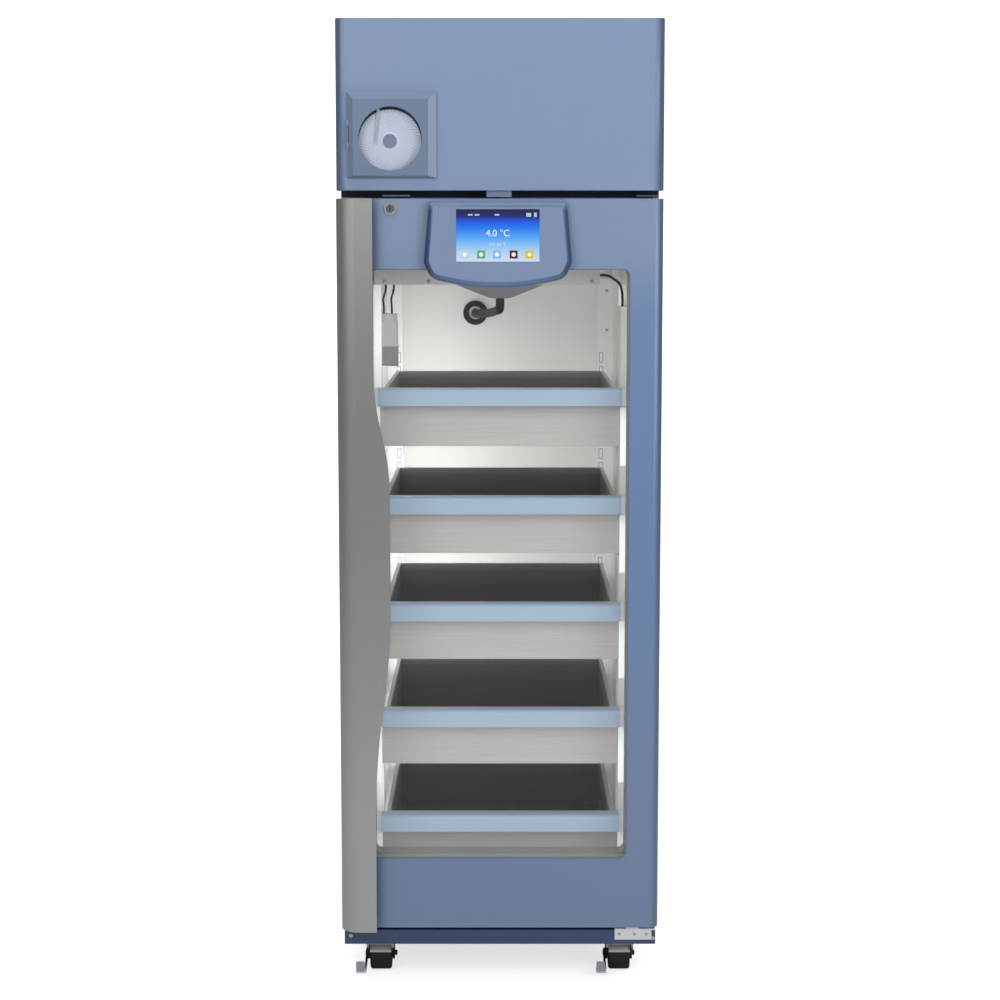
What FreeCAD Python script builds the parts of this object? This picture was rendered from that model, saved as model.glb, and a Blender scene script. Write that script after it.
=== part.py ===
import FreeCAD, Part
import math
import os
import Sketcher

# Blood bank refrigerator: an insulated upright cabinet on four casters, with a glass door
# hinged on the right, five drawers on wall rails, a top-mounted cooling machine and a chart
# recorder in the header cover. Millimetres, +Z up, front towards -Y, origin on the floor
# under the middle of the machine.

# Driving dimensions, each written once
SIZES = {
    # overall
    "front_width": 610,
    "cabinet_depth": 682,
    "caster_height": 80,
    "base_height": 29,
    "door_floor_gap": 8,
    "door_height": 1397,
    "header_gap": 15,
    "header_height": 315,
    "door_thickness": 70,
    "seal_thickness": 8,
    "handle_projection": 30,
    "sheet": 1.2,
    "cover_sheet": 2,
    "front_corner_radius": 17,
    "running_gap": 0.5,
    # insulated box and chamber
    "box_over_door": 4,
    "wall_insulation": 56,
    "chamber_depth": 600,
    "chamber_height": 1286,
    "floor_insulation": 50,
    "liner_flange": 14,
    # base
    "base_setback": 11,
    "base_steel": 2,
    # door
    "stile_width": 62,
    "window_height": 1130,
    "window_sill": 137,
    "window_corner": 12,
    "glass_overlap": 10,
    "glass_setback": 6,
    "glass_pane": 4,
    "glass_cavity": 20,
    "bead_reveal": 2,
    "inner_frame_thickness": 4,
    "seal_width": 16,
    "seal_offset": 15,
    "hinge_inset": 17,
    "hinge_from_inside": 28,
    "hinge_pin_radius": 5,
    "hinge_pin_depth": 14,
    "pin_clearance": 0.06,
    "bracket_steel": 3,
    "upper_plate_width": 43,
    "upper_plate_overhang": 10,
    "plate_over_box": 40,
    "lower_plate_width": 78,
    "lower_plate_overhang": 12,
    "apron_drop": 19,
    "stop_width": 26,
    "stop_offset": 32,
    "washer_radius": 9,
    # door handle wing
    "wing_thickness": 4,
    "wing_leg": 40,
    "wing_bend": 35,
    "wing_width": 69,
    "wing_bulge": 30,
    "wing_bulge_centre": 740,
    "wing_bulge_flat": 200,
    "wing_upper_flank": 243,
    "wing_lower_flank": 411,
    # lock
    "lock_from_left": 101,
    "lock_below_top": 19,
    "lock_radius": 11.5,
    "plug_radius": 8,
    "lock_projection": 4,
    "lock_depth": 25,
    "cam_length": 28,
    "cam_width": 12,
    "cam_steel": 4,
    "strike_width": 51,
    "strike_offset": 10.5,
    "strike_front": 16,
    "strike_over_box": 30,
    "strike_slot_width": 29,
    "sensor_width": 48,
    "sensor_offset": -2,
    "sensor_front": 8,
    "sensor_depth": 32,
    # monitor
    "monitor_offset": -4,
    "monitor_top_drop": 6,
    "monitor_top_width": 256,
    "monitor_low_width": 276,
    "monitor_side_drop": 112,
    "monitor_corner_width": 250,
    "monitor_corner_drop": 141,
    "monitor_sag": 17,
    "monitor_depth": 25,
    "monitor_corner_radius": 26,
    "monitor_edge_radius": 12,
    "port_height": 14,
    "port_drop": 103,
    "screen_width": 154,
    "screen_height": 96,
    "screen_top_drop": 14,
    "screen_thickness": 1.5,
    # chart recorder
    "recorder_from_left": 105,
    "recorder_width": 165,
    "recorder_height": 158,
    "recorder_lift": 23,
    "recorder_depth": 70,
    "recorder_projection": 12,
    "recorder_flange": 1.5,
    "recorder_flange_reach": 5,
    "bevel_left": 11,
    "bevel_right": 15,
    "bevel_top": 14,
    "bevel_bottom": 4,
    "chart_radius": 58,
    "chart_paper": 0.5,
    "hub_radius": 14.5,
    "hub_height": 3,
    "chart_shift": 4,
    "chart_drop": 11.5,
    "platen_depth": 6,
    "case_wall": 3,
    "pen_shift": 21,
    "pen_rise": 57,
    "eye_shift": 3,
    "eye_drop": 7,
    "recorder_window_radius": 58.5,
    "recorder_pane": 2,
    "pen_width": 5,
    "pen_reach": 62,
    "knuckle_radius": 2.5,
    "knuckle_length": 30,
    # drawers
    "drawer_count": 5,
    "drawer_pitch": 210,
    "first_drawer_top": 994,
    "drawer_height": 114,
    "drawer_depth": 465,
    "drawer_setback": 12,
    "drawer_sheet": 1.5,
    "tray_side_gap": 27,
    "panel_side_gap": 13,
    "grip_height": 33,
    "grip_depth": 33,
    "grip_side_gap": 10.5,
    "grip_cap": 7.5,
    "grip_wall": 3,
    "grip_lip": 11,
    "grip_nose": 8,
    # wall rails
    "rail_height": 38,
    "rail_depth": 10,
    "rail_steel": 2,
    "drawer_rim": 6,
    "rail_play": 0.4,
    "pilaster_width": 25,
    "pilaster_front": 84,
    "pilaster_rear_gap": 30,
    "rear_pilaster_stand": 20,
    "side_plate_drop": 39,
    "side_plate_height": 114,
    "side_plate_setback": 46.5,
    # chamber fittings
    "cooler_left_gap": 2,
    "cooler_right_gap": 52,
    "cooler_setback": 60,
    "cooler_depth": 350,
    "cooler_height": 94,
    "cooler_fan_radius": 62,
    "cooler_fan_setback": 90,
    "evaporator_fan_lift": 8,
    "fan_ring_gap": 6,
    "guard_hub": 16,
    "guard_bar": 4,
    "coil_side_gap": 50,
    "coil_rear_gap": 30,
    "coil_depth": 100,
    "coil_top_gap": 14,
    "funnel_width": 204,
    "funnel_depth": 120,
    "funnel_drop": 35,
    "funnel_outlet": 40,
    "hose_radius": 9,
    "grommet_radius": 26.5,
    "grommet_bore": 14.5,
    "grommet_offset": -54,
    "grommet_drop": 170,
    "lamp_width": 30,
    "lamp_thickness": 16,
    "lamp_setback": 49.5,
    "lamp_top_drop": 136,
    "lamp_length": 1120,
    "bottle_width": 38,
    "bottle_height": 65,
    "bottle_lid": 14,
    "bottle_setback": 190,
    "bottle_drop": 156,
    "bracket_drop": 39,
    # machine compartment
    "hood_sheet": 1.5,
    "machine_gap": 60,
    "compressor_radius": 78,
    "compressor_setback": 130,
    "compressor_lift": 14,
    "compressor_foot_radius": 9,
    "pipe_lift": 60,
    "hot_pipe_radius": 4,
    "suction_pipe_radius": 6,
    "compressor_height": 150,
    "condenser_width": 250,
    "condenser_height": 200,
    "condenser_depth": 45,
    "condenser_fins": 14,
    "condenser_fan_radius": 85,
    "condenser_fan_depth": 20,
    "fan_motor_length": 24,
    "fan_motor_radius": 20,
    "grille_slots": 12,
    "grille_pitch": 20,
    "grille_slot_height": 8,
    "grille_slot_width": 250,
    "grille_slot_lift": 50,
    "grille_side_gap": 30,
    "control_width": 130,
    "control_height": 120,
    "control_depth": 140,
    "control_inset": 50,
    "inlet_width": 48,
    "inlet_height": 27,
    "inlet_inset": 40,
    "inlet_lift": 70,
    "inlet_depth": 20,
    "switch_width": 20,
    "switch_height": 28,
    "switch_inset": 26,
    "switch_depth": 14,
    "rocker_height": 25,
    "rocker_pin_radius": 1.8,
    # casters
    "caster_inset": 66,
    "caster_setback": 64,
    "caster_trail": 25,
    "wheel_radius": 31.5,
    "wheel_width": 42,
    "axle_radius": 5,
    "caster_plate": 60,
    "caster_plate_steel": 3,
    "swivel_height": 8,
    "kingpin_radius": 6,
    "kingpin_length": 5,
    "fork_wall": 4,
    "fork_side_gap": 1.5,
    "fork_boss": 11,
    "lever_steel": 3.5,
    "lever_eye_radius": 9,
    "pedal_width": 16,
}

doc = FreeCAD.newDocument("refrigerator")
sheet = doc.addObject("Spreadsheet::Sheet", "Sizes")
for row, (alias, number) in enumerate(SIZES.items(), start=1):
    sheet.set(f"A{row}", alias)
    sheet.set(f"B{row}", str(number))
    sheet.setAlias(f"B{row}", alias)
doc.recompute()


class Size:
    """A length known both as a number and as the expression over the sheet that gives it."""

    def __init__(self, text, number):
        self.text = text
        self.number = float(number)

    def joined(self, sign, other, number):
        return Size(f"({self.text} {sign} {size(other).text})", number)

    def __add__(self, other):
        return self.joined("+", other, self.number + float(size(other)))

    def __radd__(self, other):
        return size(other) + self

    def __sub__(self, other):
        return self.joined("-", other, self.number - float(size(other)))

    def __rsub__(self, other):
        return size(other) - self

    def __mul__(self, other):
        return self.joined("*", other, self.number * float(size(other)))

    def __rmul__(self, other):
        return size(other) * self

    def __truediv__(self, other):
        return self.joined("/", other, self.number / float(size(other)))

    def __neg__(self):
        return 0 - self

    def __float__(self):
        return self.number


def size(value):
    """A number or a Size, as a Size."""
    return value if isinstance(value, Size) else Size(repr(float(value)), value)


class Sheet:
    """The driving dimensions by name."""

    def __getattr__(self, alias):
        return Size(f"Sizes.{alias}", sheet.get(alias))


S = Sheet()


# Construction helpers


def bind(thing, path, value):
    thing.setExpression(path, size(value).text)


def middle(span):
    return (span[0] + span[1]) / 2


def around(centre, width):
    return (centre - width / 2, centre + width / 2)


def grown(span, by):
    return (span[0] - by, span[1] + by)


def block(name, x, y, z):
    """A box between the low and high limits given for each axis."""
    solid = doc.addObject("Part::Box", name)
    for letter, side, span in (("x", "Length", x), ("y", "Width", y), ("z", "Height", z)):
        bind(solid, side, span[1] - span[0])
        bind(solid, f"Placement.Base.{letter}", span[0])
    return solid


TURNS = {
    "x": FreeCAD.Rotation(FreeCAD.Vector(0, 1, 0), 90),
    "y": FreeCAD.Rotation(FreeCAD.Vector(1, 0, 0), -90),
    "z": FreeCAD.Rotation(),
}


def rod(name, axis, span, centre, radius):
    """A cylinder along one axis, between the limits of span; centre holds the other two places."""
    solid = doc.addObject("Part::Cylinder", name)
    solid.Placement.Rotation = TURNS[axis]
    bind(solid, "Radius", radius)
    bind(solid, "Height", span[1] - span[0])
    others = [letter for letter in "xyz" if letter != axis]
    bind(solid, f"Placement.Base.{axis}", span[0])
    for letter, place in zip(others, centre):
        bind(solid, f"Placement.Base.{letter}", place)
    return solid


def fuse(name, *solids):
    joined = doc.addObject("Part::MultiFuse", name)
    joined.Shapes = list(solids)
    return joined


def cut(name, base, *tools):
    left = doc.addObject("Part::Cut", name)
    left.Base = base
    left.Tool = tools[0] if len(tools) == 1 else fuse(name + "_tools", *tools)
    return left


def group(name, *solids):
    """Several separate solids that share one node."""
    gathered = doc.addObject("Part::Compound", name)
    gathered.Links = list(solids)
    return gathered


def mirrored_x(name, source):
    copy = doc.addObject("Part::Mirroring", name)
    copy.Source = source
    copy.Normal = FreeCAD.Vector(1, 0, 0)
    return copy


def rectangle(u, v):
    return [(u[0], v[0]), (u[1], v[0]), (u[1], v[1]), (u[0], v[1])]


def rounded_rectangle(u, v, radius):
    """Eight corners, anticlockwise, with an arc leaving every second one."""
    left, right = u
    low, high = v
    return [
        (left + radius, low),
        (right - radius, low, (radius, right - radius, low + radius, 1)),
        (right, low + radius),
        (right, high - radius, (radius, right - radius, high - radius, 1)),
        (right - radius, high),
        (left + radius, high, (radius, left + radius, high - radius, 1)),
        (left, high - radius),
        (left, low + radius, (radius, left + radius, low + radius, 1)),
    ]


def front_rounded(x, y, radius):
    """A plan outline whose two front corners are rounded."""
    left, right = x
    front, rear = y
    return [
        (left + radius, front),
        (right - radius, front, (radius, right - radius, front + radius, 1)),
        (right, front + radius),
        (right, rear),
        (left, rear),
        (left, front + radius, (radius, left + radius, front + radius, 1)),
    ]


def draw_outline(sketch, corners):
    """A closed outline with every corner pinned from the origin. A corner may name the arc
    that leaves it, as radius, centre and turn."""
    first = sketch.GeometryCount
    ends = []
    for corner, following in zip(corners, corners[1:] + corners[:1]):
        here = FreeCAD.Vector(float(corner[0]), float(corner[1]), 0)
        there = FreeCAD.Vector(float(following[0]), float(following[1]), 0)
        if len(corner) == 2:
            sketch.addGeometry(Part.LineSegment(here, there), False)
            ends.append((1, 2))
            continue
        radius, across, up, turn = corner[2]
        centre = FreeCAD.Vector(float(across), float(up), 0)
        start, stop = (here, there) if turn > 0 else (there, here)
        low = math.atan2(start.y - centre.y, start.x - centre.x)
        high = math.atan2(stop.y - centre.y, stop.x - centre.x)
        if high <= low:
            high += 2 * math.pi
        circle = Part.Circle(centre, FreeCAD.Vector(0, 0, 1), float(radius))
        sketch.addGeometry(Part.ArcOfCircle(circle, low, high), False)
        ends.append((1, 2) if turn > 0 else (2, 1))
    for step, corner in enumerate(corners):
        edge = first + step
        after = first + (step + 1) % len(corners)
        start, stop = ends[step]
        sketch.addConstraint(
            Sketcher.Constraint("Coincident", edge, stop, after, ends[(step + 1) % len(corners)][0])
        )
        for kind, place in (("DistanceX", corner[0]), ("DistanceY", corner[1])):
            index = sketch.addConstraint(
                Sketcher.Constraint(kind, -1, 1, edge, start, float(place))
            )
            bind(sketch, f"Constraints[{index}]", place)
        if len(corner) == 3:
            radius = corner[2][0]
            index = sketch.addConstraint(Sketcher.Constraint("Radius", edge, float(radius)))
            bind(sketch, f"Constraints[{index}]", radius)


def draw_circle(sketch, centre, radius):
    middle_point = FreeCAD.Vector(float(centre[0]), float(centre[1]), 0)
    edge = sketch.addGeometry(
        Part.Circle(middle_point, FreeCAD.Vector(0, 0, 1), float(radius)), False
    )
    for kind, place in (("DistanceX", centre[0]), ("DistanceY", centre[1])):
        index = sketch.addConstraint(Sketcher.Constraint(kind, -1, 1, edge, 3, float(place)))
        bind(sketch, f"Constraints[{index}]", place)
    index = sketch.addConstraint(Sketcher.Constraint("Radius", edge, float(radius)))
    bind(sketch, f"Constraints[{index}]", radius)


PLANES = {"xy": "XY_Plane", "xz": "XZ_Plane", "yz": "YZ_Plane"}


def new_sketch(body, plane, start, outlines=(), circles=()):
    """A sketch parallel to one of the body's origin planes, at the given place along its normal."""
    sketch = body.newObject("Sketcher::SketchObject", body.Name + "_sketch")
    role = PLANES[plane]
    support = next(face for face in body.Origin.OriginFeatures if face.Role == role)
    sketch.AttachmentSupport = [(support, "")]
    sketch.MapMode = "FlatFace"
    bind(sketch, "AttachmentOffset.Base.z", start)
    for corners in outlines:
        draw_outline(sketch, corners)
    for centre, radius in circles:
        draw_circle(sketch, centre, radius)
    return sketch


def start_of(plane, span):
    """The XZ plane's normal points to -Y, so its sketches start at the rear limit."""
    return -size(span[1]) if plane == "xz" else size(span[0])


def pad(body, plane, span, outlines=(), circles=()):
    feature = body.newObject("PartDesign::Pad", body.Name + "_pad")
    feature.Profile = new_sketch(body, plane, start_of(plane, span), outlines, circles)
    bind(feature, "Length", size(span[1]) - span[0])
    body.Tip = feature
    return feature


def pocket(body, plane, span, outlines=(), circles=()):
    feature = body.newObject("PartDesign::Pocket", body.Name + "_pocket")
    feature.Profile = new_sketch(body, plane, start_of(plane, span), outlines, circles)
    feature.Reversed = True
    bind(feature, "Length", size(span[1]) - span[0])
    body.Tip = feature
    return feature


def loft(body, plane, first, last):
    """A solid from one outline to another; each is given as its place and its corners."""
    feature = body.newObject("PartDesign::AdditiveLoft", body.Name + "_loft")
    sketches = []
    for place, corners in (first, last):
        start = -size(place) if plane == "xz" else size(place)
        sketches.append(new_sketch(body, plane, start, [corners]))
    feature.Profile = sketches[0]
    feature.Sections = sketches[1:]
    feature.Ruled = True
    body.Tip = feature
    return feature


def round_edges(body, radius, wanted):
    """Round the edges of the body so far for which wanted(edge) is true."""
    doc.recompute()
    base = body.Tip
    names = [
        f"Edge{count}" for count, edge in enumerate(base.Shape.Edges, start=1) if wanted(edge)
    ]
    feature = body.newObject("PartDesign::Fillet", body.Name + "_fillet")
    feature.Base = (base, names)
    bind(feature, "Radius", radius)
    body.Tip = feature
    return feature


def repeat(body, feature, axis_role, pitch, count):
    """Copies of a feature in a row along one of the body's origin axes."""
    pattern = body.newObject("PartDesign::LinearPattern", body.Name + "_pattern")
    pattern.Originals = [feature]
    axis = next(line for line in body.Origin.OriginFeatures if line.Role == axis_role)
    pattern.Direction = (axis, [""])
    bind(pattern, "Length", pitch * (count - 1))
    bind(pattern, "Occurrences", count)
    body.Tip = pattern
    return pattern


def new_body(name):
    return doc.addObject("PartDesign::Body", name)


def placed(name, shape, at, axis="z"):
    """A piece whose shape comes from a formula, set down at a point with its Z along an axis."""
    piece = doc.addObject("Part::Feature", name)
    piece.Shape = shape
    piece.Placement = FreeCAD.Placement(
        FreeCAD.Vector(*[float(place) for place in at]), TURNS[axis]
    )
    return piece


nodes = {}


def node(name, thing):
    """Register a finished sub-part under the name that its file gets."""
    thing.Label = name
    nodes[name] = thing
    return thing


# Reference planes

total_depth = S.handle_projection + S.door_thickness + S.seal_thickness + S.cabinet_depth
front = S.handle_projection - total_depth / 2
door_back = front + S.door_thickness
face = door_back + S.seal_thickness
back = face + S.cabinet_depth
base_top = S.caster_height + S.base_height
door_bottom = base_top + S.door_floor_gap
door_top = door_bottom + S.door_height
header_bottom = door_top + S.header_gap
header_top = header_bottom + S.header_height
box_top = door_top + S.box_over_door
front_x = around(size(0), S.front_width)
cabinet_x = grown(front_x, -S.wing_thickness)
chamber_x = grown(cabinet_x, -S.wall_insulation)
chamber_y = (face, face + S.chamber_depth)
chamber_bottom = base_top + S.floor_insulation
chamber_z = (chamber_bottom, chamber_bottom + S.chamber_height)
window_z = (door_bottom + S.window_sill, door_bottom + S.window_sill + S.window_height)
window_x = grown(front_x, -S.stile_width)
hinge_x = front_x[1] - S.hinge_inset
hinge_y = door_back - S.hinge_from_inside
lock_x = front_x[0] + S.lock_from_left
lock_z = door_top - S.lock_below_top
cam_y = (front + S.lock_depth + 2, front + S.lock_depth + 2 + S.cam_steel)


# Insulated box: painted steel skin, foam and the chamber liner


def make_cabinet_shell():
    y = (face, back)
    z = (base_top, box_top)
    outer = block("shell_outer", cabinet_x, y, z)
    core = block(
        "shell_core",
        grown(cabinet_x, -S.sheet),
        grown(y, -S.sheet),
        grown(z, -S.sheet),
    )
    mouth = block(
        "shell_mouth",
        grown(chamber_x, S.liner_flange),
        (face - S.sheet, face + 2 * S.sheet),
        grown(chamber_z, S.liner_flange),
    )
    return node("cabinet_shell", cut("cabinet_shell", outer, core, mouth))


def make_foam():
    y = (face + S.sheet, back - S.sheet)
    z = (base_top + S.sheet, box_top - S.sheet)
    filling = block("foam_filling", grown(cabinet_x, -S.sheet), y, z)
    tub = block(
        "foam_tub",
        grown(chamber_x, S.sheet),
        (face, chamber_y[1] + S.sheet),
        grown(chamber_z, S.sheet),
    )
    return node("foam_insulation", cut("foam_insulation", filling, tub))


def make_liner():
    tub = block(
        "liner_tub",
        grown(chamber_x, S.sheet),
        (face, chamber_y[1] + S.sheet),
        grown(chamber_z, S.sheet),
    )
    flange = block(
        "liner_flange_ring",
        grown(chamber_x, S.liner_flange),
        (face, face + S.sheet),
        grown(chamber_z, S.liner_flange),
    )
    room = block("liner_room", chamber_x, (face - S.sheet, chamber_y[1]), chamber_z)
    whole = fuse("liner_whole", tub, flange)
    return node("chamber_liner", cut("chamber_liner", whole, room))


def make_base_frame():
    y = (front + S.base_setback, back)
    z = (S.caster_height, base_top)
    outer = block("base_outer", cabinet_x, y, z)
    inside_x = grown(cabinet_x, -S.base_steel)
    well = block(
        "base_well",
        inside_x,
        (face + S.base_steel, back - S.base_steel),
        (z[0] + S.base_steel, z[1] + S.base_steel),
    )
    toe = block(
        "base_toe",
        inside_x,
        (y[0] + S.base_steel, face + 2 * S.base_steel),
        grown(z, -S.base_steel),
    )
    return node("base_frame", cut("base_frame", outer, well, toe))


make_cabinet_shell()
make_foam()
make_liner()
make_base_frame()


# Header: front cover tray, machine hood and the rear grille

header_z = (header_bottom, header_top)
recorder_centre = front_x[0] + S.recorder_from_left
recorder_x = around(recorder_centre, S.recorder_width)
recorder_z = (header_bottom + S.recorder_lift, header_bottom + S.recorder_lift + S.recorder_height)


def make_header_cover():
    body = new_body("header_cover_body")
    pad(body, "xy", header_z, [front_rounded(front_x, (front, face), S.front_corner_radius)])
    inside = front_rounded(
        grown(front_x, -S.cover_sheet),
        (front + S.cover_sheet, face + S.cover_sheet),
        S.front_corner_radius - S.cover_sheet,
    )
    pocket(body, "xy", grown(header_z, -S.cover_sheet), [inside])
    hole_x = grown(recorder_x, -S.recorder_flange_reach)
    hole_z = grown(recorder_z, -S.recorder_flange_reach)
    pocket(body, "xz", (front - S.cover_sheet, front + 2 * S.cover_sheet), [rectangle(hole_x, hole_z)])
    return node("header_cover", body)


hood_z = (box_top, header_top - S.cover_sheet)


def make_machine_hood():
    outer = block("hood_outer", cabinet_x, (face, back), hood_z)
    inner = block(
        "hood_inner",
        grown(cabinet_x, -S.hood_sheet),
        (face - S.hood_sheet, back + S.hood_sheet),
        (box_top - S.hood_sheet, hood_z[1] - S.hood_sheet),
    )
    return node("machine_hood", cut("machine_hood", outer, inner))


control_left = cabinet_x[0] + S.control_inset
control_x = (control_left, control_left + S.control_width)
control_y = (back - S.control_depth, back)
control_z = (box_top, box_top + S.control_height)


def make_rear_grille():
    body = new_body("rear_grille_body")
    y = (back - S.hood_sheet, back)
    x = grown(cabinet_x, -S.hood_sheet - S.running_gap)
    z = (box_top, hood_z[1] - S.hood_sheet - S.running_gap)
    pad(body, "xz", y, [rectangle(x, z)])
    cut_y = grown(y, S.hood_sheet)
    notch_x = grown(control_x, S.running_gap)
    notch_z = (control_z[0] - S.hood_sheet, control_z[1] + S.running_gap)
    pocket(body, "xz", cut_y, [rectangle(notch_x, notch_z)])
    radius = S.grille_slot_height / 2
    first_slot = z[0] + S.grille_slot_lift
    slot_z = around(first_slot, S.grille_slot_height)
    slot_right = x[1] - S.grille_side_gap
    slot_x = (slot_right - S.grille_slot_width, slot_right)
    slot = pocket(body, "xz", cut_y, [rounded_rectangle(slot_x, slot_z, radius * 0.98)])
    repeat(body, slot, "Z_Axis", S.grille_pitch, S.grille_slots)
    return node("rear_grille", body)


def make_hinge_brackets():
    """Upper and lower hinge plates with their pins, and the slotted strike of the lock."""
    pin_top = door_top - S.hinge_pin_depth
    upper_right = hinge_x + S.upper_plate_overhang
    upper_plate = block(
        "upper_plate",
        (upper_right - S.upper_plate_width, upper_right),
        (hinge_y - S.lower_plate_overhang, face + S.plate_over_box),
        (box_top, box_top + S.bracket_steel),
    )
    upper_pin = rod(
        "upper_pin", "z", (pin_top, box_top + 2), (hinge_x, hinge_y), S.hinge_pin_radius
    )
    upper = fuse("upper_hinge", upper_plate, upper_pin)

    step_y = front + S.base_setback
    steel = S.bracket_steel
    lower_right = hinge_x + S.lower_plate_overhang
    shelf_x = (lower_right - S.lower_plate_width, lower_right)
    shelf = block(
        "lower_shelf",
        shelf_x,
        (step_y - steel, hinge_y + 14),
        (base_top, base_top + steel),
    )
    apron = block(
        "lower_apron",
        (shelf_x[0], hinge_x + S.hinge_pin_radius),
        (step_y - steel, step_y),
        (base_top - S.apron_drop, base_top + steel),
    )
    stop_block = block(
        "lower_stop_block",
        around(hinge_x - S.stop_offset, S.stop_width),
        (step_y - steel, hinge_y + 10),
        (base_top, door_bottom - S.running_gap),
    )
    washer = rod(
        "lower_washer",
        "z",
        (base_top, door_bottom - S.running_gap),
        (hinge_x, hinge_y),
        S.washer_radius,
    )
    lower_pin = rod(
        "lower_pin",
        "z",
        (base_top + 1, door_bottom + S.hinge_pin_depth),
        (hinge_x, hinge_y),
        S.hinge_pin_radius,
    )
    lower = fuse("lower_hinge", shelf, apron, stop_block, washer, lower_pin)

    strike_plate = block(
        "strike_plate",
        around(lock_x + S.strike_offset, S.strike_width),
        (front + S.strike_front, face + S.strike_over_box),
        (box_top, box_top + S.bracket_steel),
    )
    strike_slot = block(
        "strike_slot",
        around(lock_x + S.cam_width / 2, S.strike_slot_width),
        grown(cam_y, 3),
        (box_top - 1, box_top + S.bracket_steel + 1),
    )
    strike = cut("lock_strike", strike_plate, strike_slot)
    return node("hinge_brackets", group("hinge_brackets", upper, lower, strike))


def make_door_sensor():
    body = new_body("door_sensor_body")
    x = around(S.sensor_offset, S.sensor_width)
    y = (front + S.sensor_front, front + S.sensor_front + S.sensor_depth)
    z = (box_top - 1, header_bottom)
    pad(body, "xy", z, [rounded_rectangle(x, y, size(4))])
    return node("door_sensor", body)


make_header_cover()
make_machine_hood()
make_rear_grille()
make_hinge_brackets()
make_door_sensor()


# Chart recorder: case with flange and platen, hinged window frame, chart and pen

chart_x = recorder_centre - S.chart_shift
chart_z = middle(recorder_z) - S.chart_drop
platen_y = front + S.platen_depth
recorder_axis = (recorder_x[0], front - S.recorder_flange - S.knuckle_radius)
pen_pivot = (chart_x - S.pen_shift, chart_z + S.pen_rise)


def make_recorder_case():
    body = new_body("recorder_case_body")
    inner_x = grown(recorder_x, -S.recorder_flange_reach - S.running_gap)
    inner_z = grown(recorder_z, -S.recorder_flange_reach - S.running_gap)
    pad(body, "xz", (front, front + S.recorder_depth), [rectangle(inner_x, inner_z)])
    pad(
        body,
        "xz",
        (front - S.recorder_flange, front),
        [rectangle(recorder_x, recorder_z)],
    )
    well = rectangle(grown(inner_x, -S.case_wall), grown(inner_z, -S.case_wall))
    pocket(body, "xz", (front - S.recorder_flange - 1, platen_y), [well])
    lug_z = around(middle(recorder_z), S.knuckle_length)
    lug_y = (recorder_axis[1] - 0.5, front)
    pad(
        body,
        "xy",
        lug_z,
        [],
        [(recorder_axis, S.knuckle_radius)],
    )
    pad(body, "xy", lug_z, [rectangle((recorder_x[0], recorder_x[0] + 2), lug_y)])
    pad(
        body,
        "xy",
        grown(lug_z, 9),
        [],
        [(recorder_axis, S.knuckle_radius / 2)],
    )
    return node("recorder_case", body)


def make_recorder_door():
    body = new_body("recorder_door_body")
    rear = front - S.recorder_flange - 0.3
    step = rear - 3
    top = front - S.recorder_projection
    face_x = (recorder_x[0] + S.bevel_left, recorder_x[1] - S.bevel_right)
    face_z = (recorder_z[0] + S.bevel_bottom, recorder_z[1] - S.bevel_top)
    pad(body, "xz", (step, rear), [rectangle(recorder_x, recorder_z)])
    loft(body, "xz", (step, rectangle(recorder_x, recorder_z)), (top, rectangle(face_x, face_z)))
    eye = (recorder_centre - S.eye_shift, middle(recorder_z) - S.eye_drop)
    pocket(body, "xz", (top - 1, rear + 1), [], [(eye, S.recorder_window_radius)])
    pocket(
        body,
        "xz",
        (rear - S.recorder_pane - 2, rear + 1),
        [],
        [(eye, S.recorder_window_radius + 3)],
    )
    lug_z = grown(around(middle(recorder_z), S.knuckle_length), 0.3)
    clear = (recorder_axis[0] - 4, recorder_axis[0] + S.knuckle_radius + 0.5)
    clear_y = (top - 1, rear + 1)
    pocket(body, "xy", lug_z, [rectangle(clear, clear_y)])
    for span in ((lug_z[0] - 12, lug_z[0]), (lug_z[1], lug_z[1] + 12)):
        pad(body, "xy", span, [], [(recorder_axis, S.knuckle_radius)])
    bore = [(recorder_axis, S.knuckle_radius / 2 + S.pin_clearance)]
    pocket(body, "xy", grown(lug_z, 9.5), [], bore)
    node("recorder_door", body)
    pane = rod(
        "recorder_window",
        "y",
        (rear - S.recorder_pane - 2, rear - 2),
        eye,
        S.recorder_window_radius + 2.9,
    )
    node("recorder_window", pane)


def make_chart():
    paper_y = (platen_y - S.chart_paper - 0.5, platen_y - 0.5)
    paper = rod("chart_paper_disc", "y", paper_y, (chart_x, chart_z), S.chart_radius)
    hub = rod(
        "chart_hub",
        "y",
        (paper_y[0] - S.hub_height, paper_y[0]),
        (chart_x, chart_z),
        S.hub_radius,
    )
    spindle = rod(
        "chart_spindle", "y", (paper_y[0] - 1, platen_y), (chart_x, chart_z), size(3)
    )
    return node("chart_disc", fuse("chart_disc", paper, hub, spindle))


def make_pen_arm():
    body = new_body("pen_arm_body")
    arm_y = (front + 0.5, front + 1.7)
    half = S.pen_width / 2
    tip = (pen_pivot[0] - 6, pen_pivot[1] - S.pen_reach)
    outline = [
        (tip[0] - half * 0.4, tip[1]),
        (tip[0] + half * 0.4, tip[1]),
        (pen_pivot[0] + half, pen_pivot[1] - 6),
        (pen_pivot[0] + half, pen_pivot[1]),
        (pen_pivot[0] - half, pen_pivot[1]),
        (pen_pivot[0] - half, pen_pivot[1] - 6),
    ]
    pad(body, "xz", arm_y, [outline])
    pad(body, "xz", arm_y, [], [(pen_pivot, S.pen_width * 0.7)])
    pad(body, "xz", (arm_y[0], platen_y), [], [(pen_pivot, S.pen_width * 0.4)])
    return node("pen_arm", body)


make_recorder_case()
make_recorder_door()
make_chart()
make_pen_arm()


# Door: painted pan, foam, plastic inner frame, double glazing, seals, handle wing, monitor

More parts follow.
